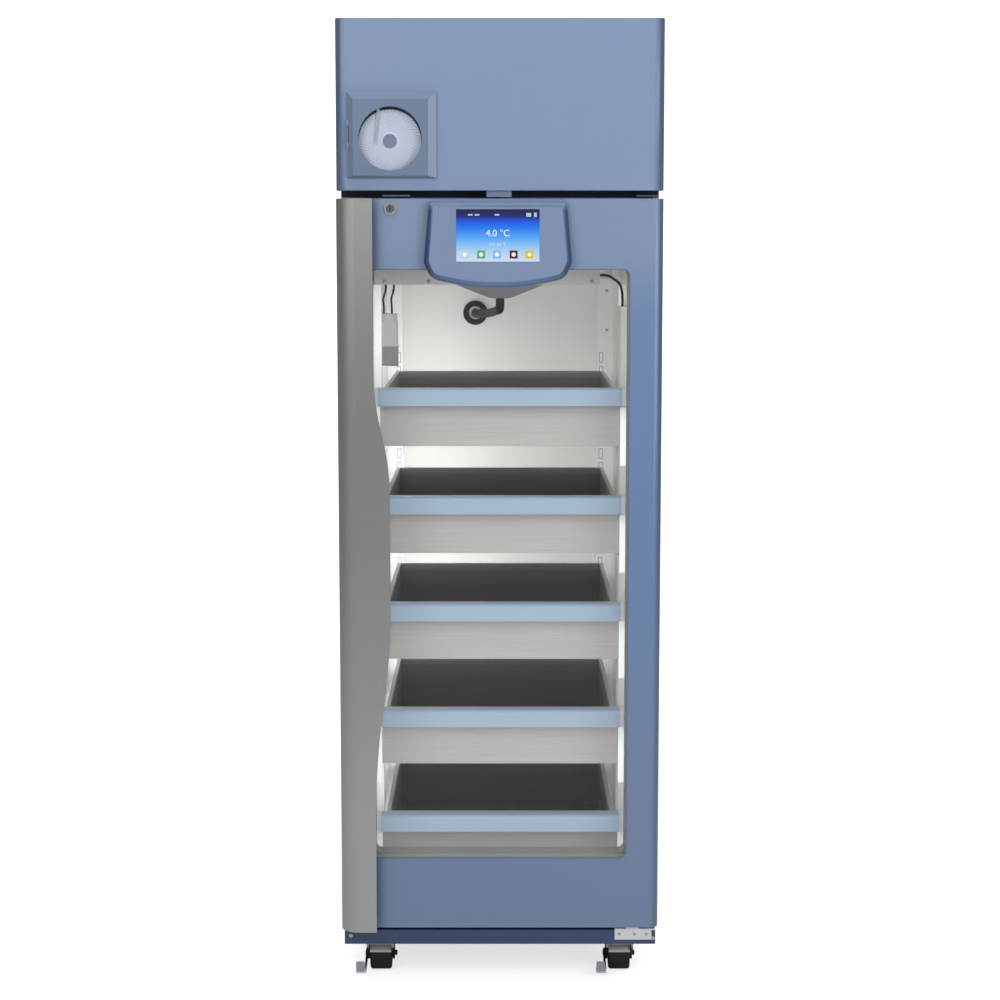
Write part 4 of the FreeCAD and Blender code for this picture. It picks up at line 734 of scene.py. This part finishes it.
def brushed(name, colour, roughness=0.32, stretch=(6, 900, 900), metallic=0.9):
    finish = Finish(name, colour, roughness, metallic)
    grain = finish.noise(1.0, 4, stretch)
    finish.shade(grain, 0.09)
    finish.polish(grain, roughness - 0.08, roughness + 0.14)
    finish.bumps(grain, 0.00003, 0.6)
    return finish.material


def make_grip_finish():
    """Pale blue moulding; the end caps beyond the extrusion are white."""
    finish = Finish("grip_plastic", srgb(166, 186, 207), 0.34)
    grip_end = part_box("drawer_1_handle")[1].x - 0.0074
    left = finish.beyond("X", -grip_end, 0.0002 - grip_end)
    right = finish.beyond("X", grip_end, grip_end + 0.0002)
    middle = finish.compute("SUBTRACT", left, right)
    finish.tint(middle, srgb(228, 230, 232), srgb(163, 185, 207))
    finish.polish(finish.noise(80, 3), 0.28, 0.4)
    finish.bumps(finish.noise(1400, 1), 0.00002, 0.5)
    return finish.material


def make_tray_steel():
    """The front is bright; behind it each tray carries painted shade, darkest at its floor and
    light again at its rim.
    """
    bright = srgb(212, 208, 204)
    finish = Finish("brushed_drawer_steel", bright, 0.42, 0.35)
    grain = finish.noise(1.0, 4, (6, 900, 900))
    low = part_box(f"drawer_{drawer_count}_tray")[0]
    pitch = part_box(f"drawer_{drawer_count - 1}_tray")[0].z - low.z
    stack = finish.beyond("Z", low.z, low.z + pitch * drawer_count)
    height = finish.compute("FRACT", finish.compute("MULTIPLY", stack, drawer_count))
    # Painted shade inside each tray, darkest at its floor.
    painted_tray_shade = finish.ramp(
        height,
        (0.0, srgb(110, 110, 109)),
        (0.3, srgb(124, 124, 122)),
        (0.46, srgb(158, 157, 155)),
        (0.53, srgb(206, 205, 202)),
    )
    sheet = finish.mix(finish.beyond("Y", low.y + 0.0015, low.y + 0.003), bright, painted_tray_shade)
    brushing = finish.ramp(grain, (0.3, (0.84, 0.84, 0.84)), (0.7, (1.0, 1.0, 1.0)))
    finish.give("Base Color", finish.mix(1.0, sheet, brushing, blend_type="MULTIPLY"))
    finish.polish(grain, 0.34, 0.56)
    finish.bumps(grain, 0.00003, 0.6)
    return finish.material


drawer_count = 5
tray_names = [f"drawer_{number}_tray" for number in range(1, drawer_count + 1)]
grip_names = [f"drawer_{number}_handle" for number in range(1, drawer_count + 1)]
dress(make_tray_steel(), *tray_names)
dress(make_grip_finish(), *grip_names)
soften(0.0009, *grip_names)


# Chamber fittings.
# Lamp of opal plastic over a row of diodes, translucent drip funnel, rubber hose and
# grommet, white probe bottle, and the leads that run to them.


def make_lamp_finish():
    """Opal cover, faintly lit from within."""
    finish = Finish("opal_lamp", srgb(226, 227, 222), 0.4)
    finish.give("Emission Color", srgb(255, 253, 240))
    finish.give("Emission Strength", 0.08)
    finish.polish(finish.noise(60), 0.3, 0.5)
    return finish.material


def make_funnel_finish():
    finish = Finish("milky_funnel", srgb(158, 162, 167), 0.3)
    finish.shade(finish.noise(20), 0.04)
    finish.bumps(finish.noise(300), 0.0001)
    finish.give("Transmission Weight", 0.25)
    return finish.material


def make_hose_rubber():
    finish = Finish("hose_rubber", srgb(30, 31, 34), 0.6)
    finish.shade(finish.noise(60, 3), 0.12)
    finish.polish(finish.noise(200, 3), 0.52, 0.7)
    finish.bumps(finish.noise(700, 3), 0.00008)
    return finish.material


dress(make_lamp_finish(), "chamber_lamp")
dress(make_funnel_finish(), "drip_funnel")
dress(make_hose_rubber(), "drain_hose", "chamber_leads")
dress(plastic("white_bottle_plastic", srgb(236, 238, 240), 0.35), "probe_bottle")


# Machine compartment.
# Black enamelled compressor, aluminium fins, copper pipes, and moulded fans.

dress(painted("black_enamel", srgb(24, 25, 28), 0.3), "compressor")
dress(brushed("aluminium_fins", srgb(200, 203, 206), 0.36, (300, 300, 8)), "finned_coils")
dress(brushed("copper_pipe", srgb(196, 122, 84), 0.28, (120, 120, 120)), "refrigerant_pipes")
fan_plastic = plastic("fan_plastic", srgb(32, 33, 36), 0.42)
dress(fan_plastic, "evaporator_fan", "condenser_fan", "power_switch")


# Casters.
# Pressed forks in black enamel under plated crowns, rubber tyres on nylon hubs, a plated
# hood over each wheel, and foot brakes with a moulded pad.

hub_radius = 0.0206
crown_z = 0.0565


def make_wheel_finish(place):
    """Black tread and a dark grey nylon hub, told apart by the distance from the axle."""
    low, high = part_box(place + "_wheel")
    tread = srgb(18, 18, 20)
    finish = Finish(place + "_tyre", tread, 0.7)
    reach = finish.reach((0, 1, 1), (low + high) / 2)
    hub = (hub_radius, srgb(92, 94, 98))
    finish.give("Base Color", finish.ramp(reach, hub, (hub_radius + 0.0003, tread)))
    finish.polish(finish.noise(200, 3), 0.58, 0.78)
    finish.bumps(finish.noise(700, 3), 0.00008)
    return finish.material


def make_fork_finish():
    """Black legs under a plated crown."""
    black = srgb(22, 22, 24)
    finish = Finish("caster_fork_finish", black, 0.42, 0.2)
    finish.tint(finish.beyond("Z", crown_z, crown_z + 0.001), black, srgb(186, 188, 186))
    finish.polish(finish.noise(60, 3), 0.36, 0.5)
    finish.bumps(finish.noise(500, 3), 0.00003)
    return finish.material


def make_lever_finish():
    """The pedal is worn to bright plating and its arm is enamelled."""
    bright = srgb(190, 192, 198)
    finish = Finish("brake_lever_finish", bright, 0.4, 0.3)
    pedal_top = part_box("front_left_brake_lever")[0].z + 0.011
    arm = finish.beyond("Z", pedal_top, pedal_top + 0.001)
    finish.tint(arm, bright, srgb(34, 35, 38))
    finish.polish(finish.noise(80, 3), 0.34, 0.5)
    finish.bumps(finish.noise(500, 3), 0.00003)
    return finish.material


def fill_hood(work, place):
    """A pressed plate curved over the front of the wheel, between the fork's legs."""
    low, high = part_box(place + "_wheel")
    axle = (low + high) / 2
    inner, outer = (high.z - low.z) / 2 + 0.0012, (high.z - low.z) / 2 + 0.0024
    half = (high.x - low.x) / 2
    section = []
    for reach, degrees in ((inner, range(20, 81, 6)), (outer, range(80, 19, -6))):
        for degree in degrees:
            turn = math.radians(degree)
            section.append((axle.y - reach * math.cos(turn), axle.z + reach * math.sin(turn)))
    rings = [
        [work.verts.new((axle.x + side * half, y, z)) for y, z in section] for side in (-1, 1)
    ]
    work.faces.new(rings[0])
    work.faces.new(rings[1])
    count = len(section)
    for index in range(count):
        after = (index + 1) % count
        work.faces.new((rings[0][index], rings[0][after], rings[1][after], rings[1][index]))


def fill_pad(work, lever):
    """A moulded pad that stands up from the toe of the pedal."""
    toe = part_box(lever)[0]
    add_slab(work, toe + Vector((0, 0, 0.004)), toe + Vector((0.0165, 0.004, 0.023)))


fork_finish = make_fork_finish()
hood_metal = plated("caster_hood_metal", srgb(206, 206, 202), 0.4)
lever_finish = make_lever_finish()
pad_plastic = plastic("pedal_pad_plastic", srgb(150, 154, 168), 0.42)
caster_places = ("front_left", "front_right", "rear_left", "rear_right")
for place in caster_places:
    dress(fork_finish, place + "_fork")
    dress(make_wheel_finish(place), place + "_wheel")
    soften(0.0008, place + "_fork")
    hood_mesh = mesh_from(place + "_hood", lambda work: fill_hood(work, place))
    new_piece(place + "_hood", hood_mesh, hood_metal, place + "_fork")
    if place.startswith("front"):
        lever = place + "_brake_lever"
        dress(lever_finish, lever)
        soften(0.0006, lever)
        pad_mesh = mesh_from(place + "_pedal_pad", lambda work: fill_pad(work, lever))
        round_edges(new_piece(place + "_pedal_pad", pad_mesh, pad_plastic, lever), 0.0018, 3)


# Screws.
# Plated pan-head screws with a cross recess, driven into the hinge plates, plinth,
# cooler, pilasters, rear panel and caster plates. The recess is a dark raised cross,
# painted shade in place of the hollow.


def new_tree(name, inputs):
    """A geometry tree with named inputs; each is a name, a socket type and a default."""
    tree = bpy.data.node_groups.new(name, "GeometryNodeTree")
    tree.interface.new_socket("Geometry", in_out="INPUT", socket_type="NodeSocketGeometry")
    tree.interface.new_socket("Geometry", in_out="OUTPUT", socket_type="NodeSocketGeometry")
    for label, kind, default in inputs:
        socket = tree.interface.new_socket(label, in_out="INPUT", socket_type=kind)
        if default is not None:
            socket.default_value = default
    return tree, tree.nodes.new("NodeGroupInput"), tree.nodes.new("NodeGroupOutput")


def make_screw_tree():
    tree, given, result = new_tree(
        "screw_heads",
        [
            ("Head Radius", "NodeSocketFloat", 0.004),
            ("Head Height", "NodeSocketFloat", 0.0015),
            ("Metal", "NodeSocketMaterial", None),
            ("Recess", "NodeSocketMaterial", None),
        ],
    )
    radius, height = given.outputs["Head Radius"], given.outputs["Head Height"]

    def step(kind, values=None, **settings):
        return add_node(tree, kind, values, **settings)

    def part(size, share):
        return step("ShaderNodeMath", {0: size, 1: share}, operation="MULTIPLY")

    def coat(shape, metal):
        values = {"Geometry": shape, "Material": given.outputs[metal]}
        return step("GeometryNodeSetMaterial", values)

    skirt = step(
        "GeometryNodeMeshCone",
        {
            "Vertices": 20,
            "Radius Bottom": radius,
            "Radius Top": part(radius, 0.72),
            "Depth": height,
        },
    )
    # The cross is raised and takes the dark Recess material: painted shade for the hollow.
    cross = step("GeometryNodeJoinGeometry")
    for across, along in ((0.9, 0.2), (0.2, 0.9)):
        spans = {"X": part(radius, across), "Y": part(radius, along), "Z": part(height, 0.2)}
        bar = step("GeometryNodeMeshCube", {"Size": step("ShaderNodeCombineXYZ", spans)})
        lift = step("ShaderNodeCombineXYZ", {"Z": height})
        raised = step("GeometryNodeTransform", {"Geometry": bar, "Translation": lift})
        fill_input(tree, cross.inputs["Geometry"], raised)
    screw = step("GeometryNodeJoinGeometry")
    for shape in (coat(skirt, "Metal"), coat(cross, "Recess")):
        fill_input(tree, screw.inputs["Geometry"], shape)
    facing = step("GeometryNodeInputNamedAttribute", {"Name": "facing"}, data_type="FLOAT_VECTOR")
    turn = step("FunctionNodeAlignRotationToVector", {"Vector": facing}, axis="Z")
    many = step(
        "GeometryNodeInstanceOnPoints",
        {"Points": given.outputs["Geometry"], "Instance": screw, "Rotation": turn},
    )
    real = step("GeometryNodeRealizeInstances", {"Geometry": many})
    fill_input(tree, result.inputs["Geometry"], real)
    return tree


screw_tree = make_screw_tree()
screw_metal = plated("screw_metal", srgb(205, 206, 208), 0.28)
# Dark colour of the cross recess: painted shade standing in for the hollow.
screw_recess_shade = painted("screw_recess_shade", srgb(58, 59, 62), 0.6)


def grow_piece(name, tree, places, facing, body, slot, **inputs):
    """Run a geometry tree on points, keep the result as a plain mesh and let it ride."""
    mesh = bpy.data.meshes.new(name + "_points")
    mesh.from_pydata(places, [], [])
    arrow = mesh.attributes.new("facing", "FLOAT_VECTOR", "POINT")
    for point in arrow.data:
        point.vector = facing
    seed = add_object(name + "_points", mesh)
    modifier = seed.modifiers.new(name, "NODES")
    modifier.node_group = tree
    for item in tree.interface.items_tree:
        if item.in_out == "INPUT" and item.name in inputs:
            modifier[item.identifier] = inputs[item.name]
    graph = bpy.context.evaluated_depsgraph_get()
    grown = bpy.data.meshes.new_from_object(seed.evaluated_get(graph))
    bpy.data.objects.remove(seed)
    piece = new_piece(name, grown, None, body)
    return piece


def drive_screws(name, radius, facing, places):
    sizes = {"Head Radius": radius, "Head Height": radius * 0.4}
    metals = {"Metal": screw_metal, "Recess": screw_recess_shade}
    grow_piece(name, screw_tree, places, facing, "cabinet", "zinc_plate", **sizes, **metals)


towards_viewer = (0, -1, 0)
towards_wall = (0, 1, 0)
downwards = (0, 0, -1)
sunk = 0.0003

plinth_low, plinth_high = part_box("base_frame")
plinth_y = plinth_low.y + sunk
plinth_places = [
    (plinth_low.x + 0.012, plinth_y, plinth_high.z - 0.012),
    (plinth_high.x - 0.005, plinth_y, plinth_high.z - 0.017),
]
drive_screws("plinth_screws", 0.0045, towards_viewer, plinth_places)

pin_x = 0.288
hinge_angle_steel = 0.003
hinge_places = [
    (pin_x + across, plinth_y - hinge_angle_steel, plinth_high.z - 0.008)
    for across in (-0.057, -0.028, -0.005)
]
drive_screws("hinge_screws", 0.0035, towards_viewer, hinge_places)

cooler_low, cooler_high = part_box("cooler_housing")
cooler_places = [
    (cooler_low.x + across, cooler_low.y + sunk, cooler_low.z + 0.007)
    for across in (0.019, 0.105, 0.22, 0.335, cooler_high.x - cooler_low.x - 0.016)
]
drive_screws("cooler_screws", 0.0042, towards_viewer, cooler_places)

pilaster_depth = 0.025
pilaster_face_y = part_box("drawer_rails")[1].y - pilaster_depth
pilaster_screw_x, slot_x = 0.232, 0.220
pilaster_places = [
    (side * pilaster_screw_x, pilaster_face_y + sunk, height)
    for side in (-1, 1)
    for height in (0.20, 0.42, 0.64, 0.86, 1.08, 1.24, 1.325)
]
drive_screws("pilaster_screws", 0.0038, towards_viewer, pilaster_places)

rear_low, rear_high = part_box("rear_grille")
rear_y = rear_high.y - sunk
rear_places = [
    (x, rear_y, z)
    for x in (rear_low.x + 0.012, (rear_low.x + rear_high.x) / 2, rear_high.x - 0.012)
    for z in (rear_low.z + 0.14, rear_high.z - 0.012)
]
rear_places += [
    (x, rear_y, rear_low.z + 0.014) for x in (rear_low.x + 0.24, rear_high.x - 0.012)
]
drive_screws("rear_screws", 0.0042, towards_wall, rear_places)

box_low, box_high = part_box("control_box")
control_places = [
    (x, box_high.y - sunk, z)
    for x in (box_low.x + 0.010, box_high.x - 0.010)
    for z in (box_low.z + 0.012, box_high.z - 0.012)
]
drive_screws("control_screws", 0.0032, towards_wall, control_places)

post_ys = {"front": -0.290, "rear": 0.331}
plate_foot_z = 0.077
plate_hole = 0.0245
for place in caster_places:
    fork_low, fork_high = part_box(place + "_fork")
    post_x = (fork_low.x + fork_high.x) / 2
    post_y = post_ys[place.split("_")[0]]
    plate_places = [
        (post_x + across, post_y + along, plate_foot_z + sunk)
        for across in (-plate_hole, plate_hole)
        for along in (-plate_hole, plate_hole)
    ]
    drive_screws(place + "_plate_screws", 0.0035, downwards, plate_places)


# Pilaster slots.
# Rows of punched slots up the rear pilasters, where the rails hook in. The white wall
# shows through each one, inside a thin grey edge.


def make_slot_tree():
    tree, given, result = new_tree(
        "slot_row",
        [
            ("Count", "NodeSocketInt", 34),
            ("Pitch", "NodeSocketFloat", 0.03),
            ("Width", "NodeSocketFloat", 0.008),
            ("Height", "NodeSocketFloat", 0.02),
            ("Proud", "NodeSocketFloat", 0.0004),
            ("Tone", "NodeSocketMaterial", None),
        ],
    )
    field = given.outputs

    def step(kind, **values):
        return add_node(tree, kind, values)

    pitch = step("ShaderNodeCombineXYZ", Z=field["Pitch"])
    row = step("GeometryNodeMeshLine", Count=field["Count"], Offset=pitch)
    size = step("ShaderNodeCombineXYZ", X=field["Width"], Y=field["Proud"], Z=field["Height"])
    slot = step("GeometryNodeMeshCube", Size=size)
    slots = step("GeometryNodeInstanceOnPoints", Points=row, Instance=slot)
    rows = step("GeometryNodeInstanceOnPoints", Points=field["Geometry"], Instance=slots)
    real = step("GeometryNodeRealizeInstances", Geometry=rows)
    toned = step("GeometryNodeSetMaterial", Geometry=real, Material=field["Tone"])
    fill_input(tree, result.inputs["Geometry"], toned)
    return tree


slot_tree = make_slot_tree()
slot_feet = [(side * slot_x, pilaster_face_y, 0.19) for side in (-1, 1)]
slot_edge = painted("slot_edge", srgb(120, 122, 124), 0.6)
slot_gap = painted("slot_gap", srgb(240, 241, 242), 0.5)
slot_pieces = []
for name, wide, tall, proud, tone in (
    ("slot_edges", 0.0085, 0.0215, 0.0006, slot_edge),
    ("slot_gaps", 0.0062, 0.0185, 0.0010, slot_gap),
):
    sizes = {"Count": 34, "Width": wide, "Height": tall, "Proud": proud, "Tone": tone}
    row = grow_piece(name, slot_tree, slot_feet, towards_viewer, "cabinet", "zinc_plate", **sizes)
    slot_pieces.append(row)


# Mains inlet.
# Three plated blades stand in the inlet's well beside the rocker switch.

inlet_x = box_low.x + 0.040
inlet_z = box_low.z + 0.070


def fill_blades(work):
    for across, up in ((-0.007, -0.002), (0.0, 0.0045), (0.007, -0.002)):
        add_slab(
            work,
            (inlet_x + across - 0.001, box_high.y - 0.0195, inlet_z + up - 0.002),
            (inlet_x + across + 0.001, box_high.y - 0.004, inlet_z + up + 0.002),
        )


blades = new_piece("inlet_blades", mesh_from("inlet_blades", fill_blades), screw_metal, "cabinet")


# Studio.
# A pale floor that runs up into a backdrop, broad soft lamps, lamps that stand in for the
# chamber's own light, and the camera.


def make_backdrop_finish():
    """Matt white. Seen directly or through glass it glows, fully so away from the object."""
    finish = Finish("studio_white", (0.9, 0.9, 0.9), 0.9)
    span = {"From Min": 1.0, "From Max": 2.6, "To Min": 0.68, "To Max": 1.0}
    share = finish.node("ShaderNodeMapRange", {**span, "Value": finish.reach()})
    rays = finish.node("ShaderNodeLightPath").outputs
    seen = finish.compute("MAXIMUM", rays["Is Camera Ray"], rays["Is Transmission Ray"])
    finish.give("Emission Color", (1, 1, 1))
    finish.give("Emission Strength", finish.compute("MULTIPLY", seen, share))
    return finish.material


def fill_backdrop(work):
    """A floor with a coved rise behind the object."""
    start_y, cove, top_z = 5.2, 1.6, 11.0
    profile = [(-9.0, 0.0), (start_y, 0.0)]
    for step in range(1, 13):
        turn = math.radians(7.5 * step)
        profile.append((start_y + cove * math.sin(turn), cove - cove * math.cos(turn)))
    profile.append((start_y + cove, top_z))
    rows = []
    for x in (-16.0, 16.0):
        rows.append([work.verts.new((x, y, z)) for y, z in profile])
    for near, far in zip(zip(rows[0], rows[1]), zip(rows[0][1:], rows[1][1:])):
        work.faces.new((near[0], near[1], far[1], far[0]))


backdrop_mesh = mesh_from("backdrop", fill_backdrop)
backdrop_mesh.materials.append(make_backdrop_finish())
for polygon in backdrop_mesh.polygons:
    polygon.use_smooth = True
backdrop = add_object("backdrop", backdrop_mesh)

world = bpy.data.worlds.new("studio")
bpy.context.scene.world = world
world.use_nodes = True
sky = world.node_tree
light = sky.nodes["Background"]
light.inputs["Color"].default_value = (1, 1, 1, 1)
direction = add_node(sky, "ShaderNodeTexCoord").outputs["Generated"]
split = add_node(sky, "ShaderNodeSeparateXYZ", {"Vector": direction})
sideways = add_node(sky, "ShaderNodeMath", {0: split.outputs["X"]}, operation="ABSOLUTE")
span = {"From Min": 0.55, "From Max": 0.85, "To Min": 0.45, "To Max": 0.2, "Value": sideways}
fill_input(sky, light.inputs["Strength"], add_node(sky, "ShaderNodeMapRange", span))
seen = add_node(sky, "ShaderNodeBackground", {"Color": (1, 1, 1), "Strength": 1.0})
camera_ray = add_node(sky, "ShaderNodeLightPath").outputs["Is Camera Ray"]
choice = add_node(sky, "ShaderNodeMixShader", {0: camera_ray, 1: light, 2: seen})
fill_input(sky, sky.nodes["World Output"].inputs["Surface"], choice)


def add_lamp(name, place, aim, size, power):
    lamp = bpy.data.lights.new(name, "AREA")
    lamp.shape = "RECTANGLE"
    lamp.size, lamp.size_y = size
    lamp.energy = power
    holder = add_object(name, lamp)
    holder.location = place
    holder.rotation_mode = "QUATERNION"
    holder.rotation_quaternion = (Vector(aim) - Vector(place)).to_track_quat("-Z", "Y")
    return holder


add_lamp("key_lamp", (-2.0, -4.2, 3.2), (0, -0.3, 0.9), (2.0, 2.0), 44)
add_lamp("fill_lamp", (2.6, -3.8, 2.3), (0, -0.3, 0.9), (2.2, 2.2), 50)
add_lamp("top_lamp", (0, -0.6, 4.2), (0, 0, 0), (2.5, 2.5), 26)
add_lamp("rear_lamp", (1.5, 3.2, 3.0), (0, 0, 1), (2.0, 2.0), 22)

chamber_low, chamber_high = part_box("chamber_liner")


def chamber_light(name, place, aim, size, power, lit, shading):
    """A lamp unseen in the chamber that reaches only the pieces named."""
    lamp = add_lamp(name, place, aim, size, power)
    lamp.visible_camera = False
    lamp.visible_glossy = False
    lamp.visible_transmission = False
    for field, linked in (("receiver_collection", lit), ("blocker_collection", shading)):
        pieces = bpy.data.collections.new(name + "_" + field)
        for piece in linked:
            pieces.objects.link(piece)
        setattr(lamp.light_linking, field, pieces)


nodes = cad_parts
trays = [nodes[name] for name in tray_names]
drawers = trays + [nodes[name] for name in grip_names]
liner = nodes["chamber_liner"]
walls = [liner, nodes["drawer_rails"], nodes["drain_hose"], nodes["drip_funnel"], *slot_pieces]
fittings = ("cooler_housing", "probe_bottle", "probe_bracket", "door_inner_frame")
mouth = chamber_low.y + 0.003
front = ((0, mouth, 0.80), (0, 1, 0.80), (0.47, 1.15))
rear = ((-0.15, chamber_high.y - 0.25, 0.70), (-0.15, 1, 0.70), (0.12, 1.10))
chamber_light("chamber_glow", *front, 2.6, walls, [liner])
chamber_light("wall_glow", *rear, 1.3, walls, [liner])
chamber_light("drawer_glow", *front, 0.82, drawers + [nodes[name] for name in fittings], trays)

camera_data = bpy.data.cameras.new("camera")
camera_data.sensor_width = 36
camera_data.lens = 74.1
camera_data.shift_y = -0.04
camera_tilt = 6.42
camera = add_object("camera", camera_data)
camera.location = (0, -4.215, 1.459)
camera.rotation_euler = (math.radians(90 - camera_tilt), 0, 0)
bpy.context.scene.camera = camera

bpy.context.scene.view_settings.view_transform = "Standard"
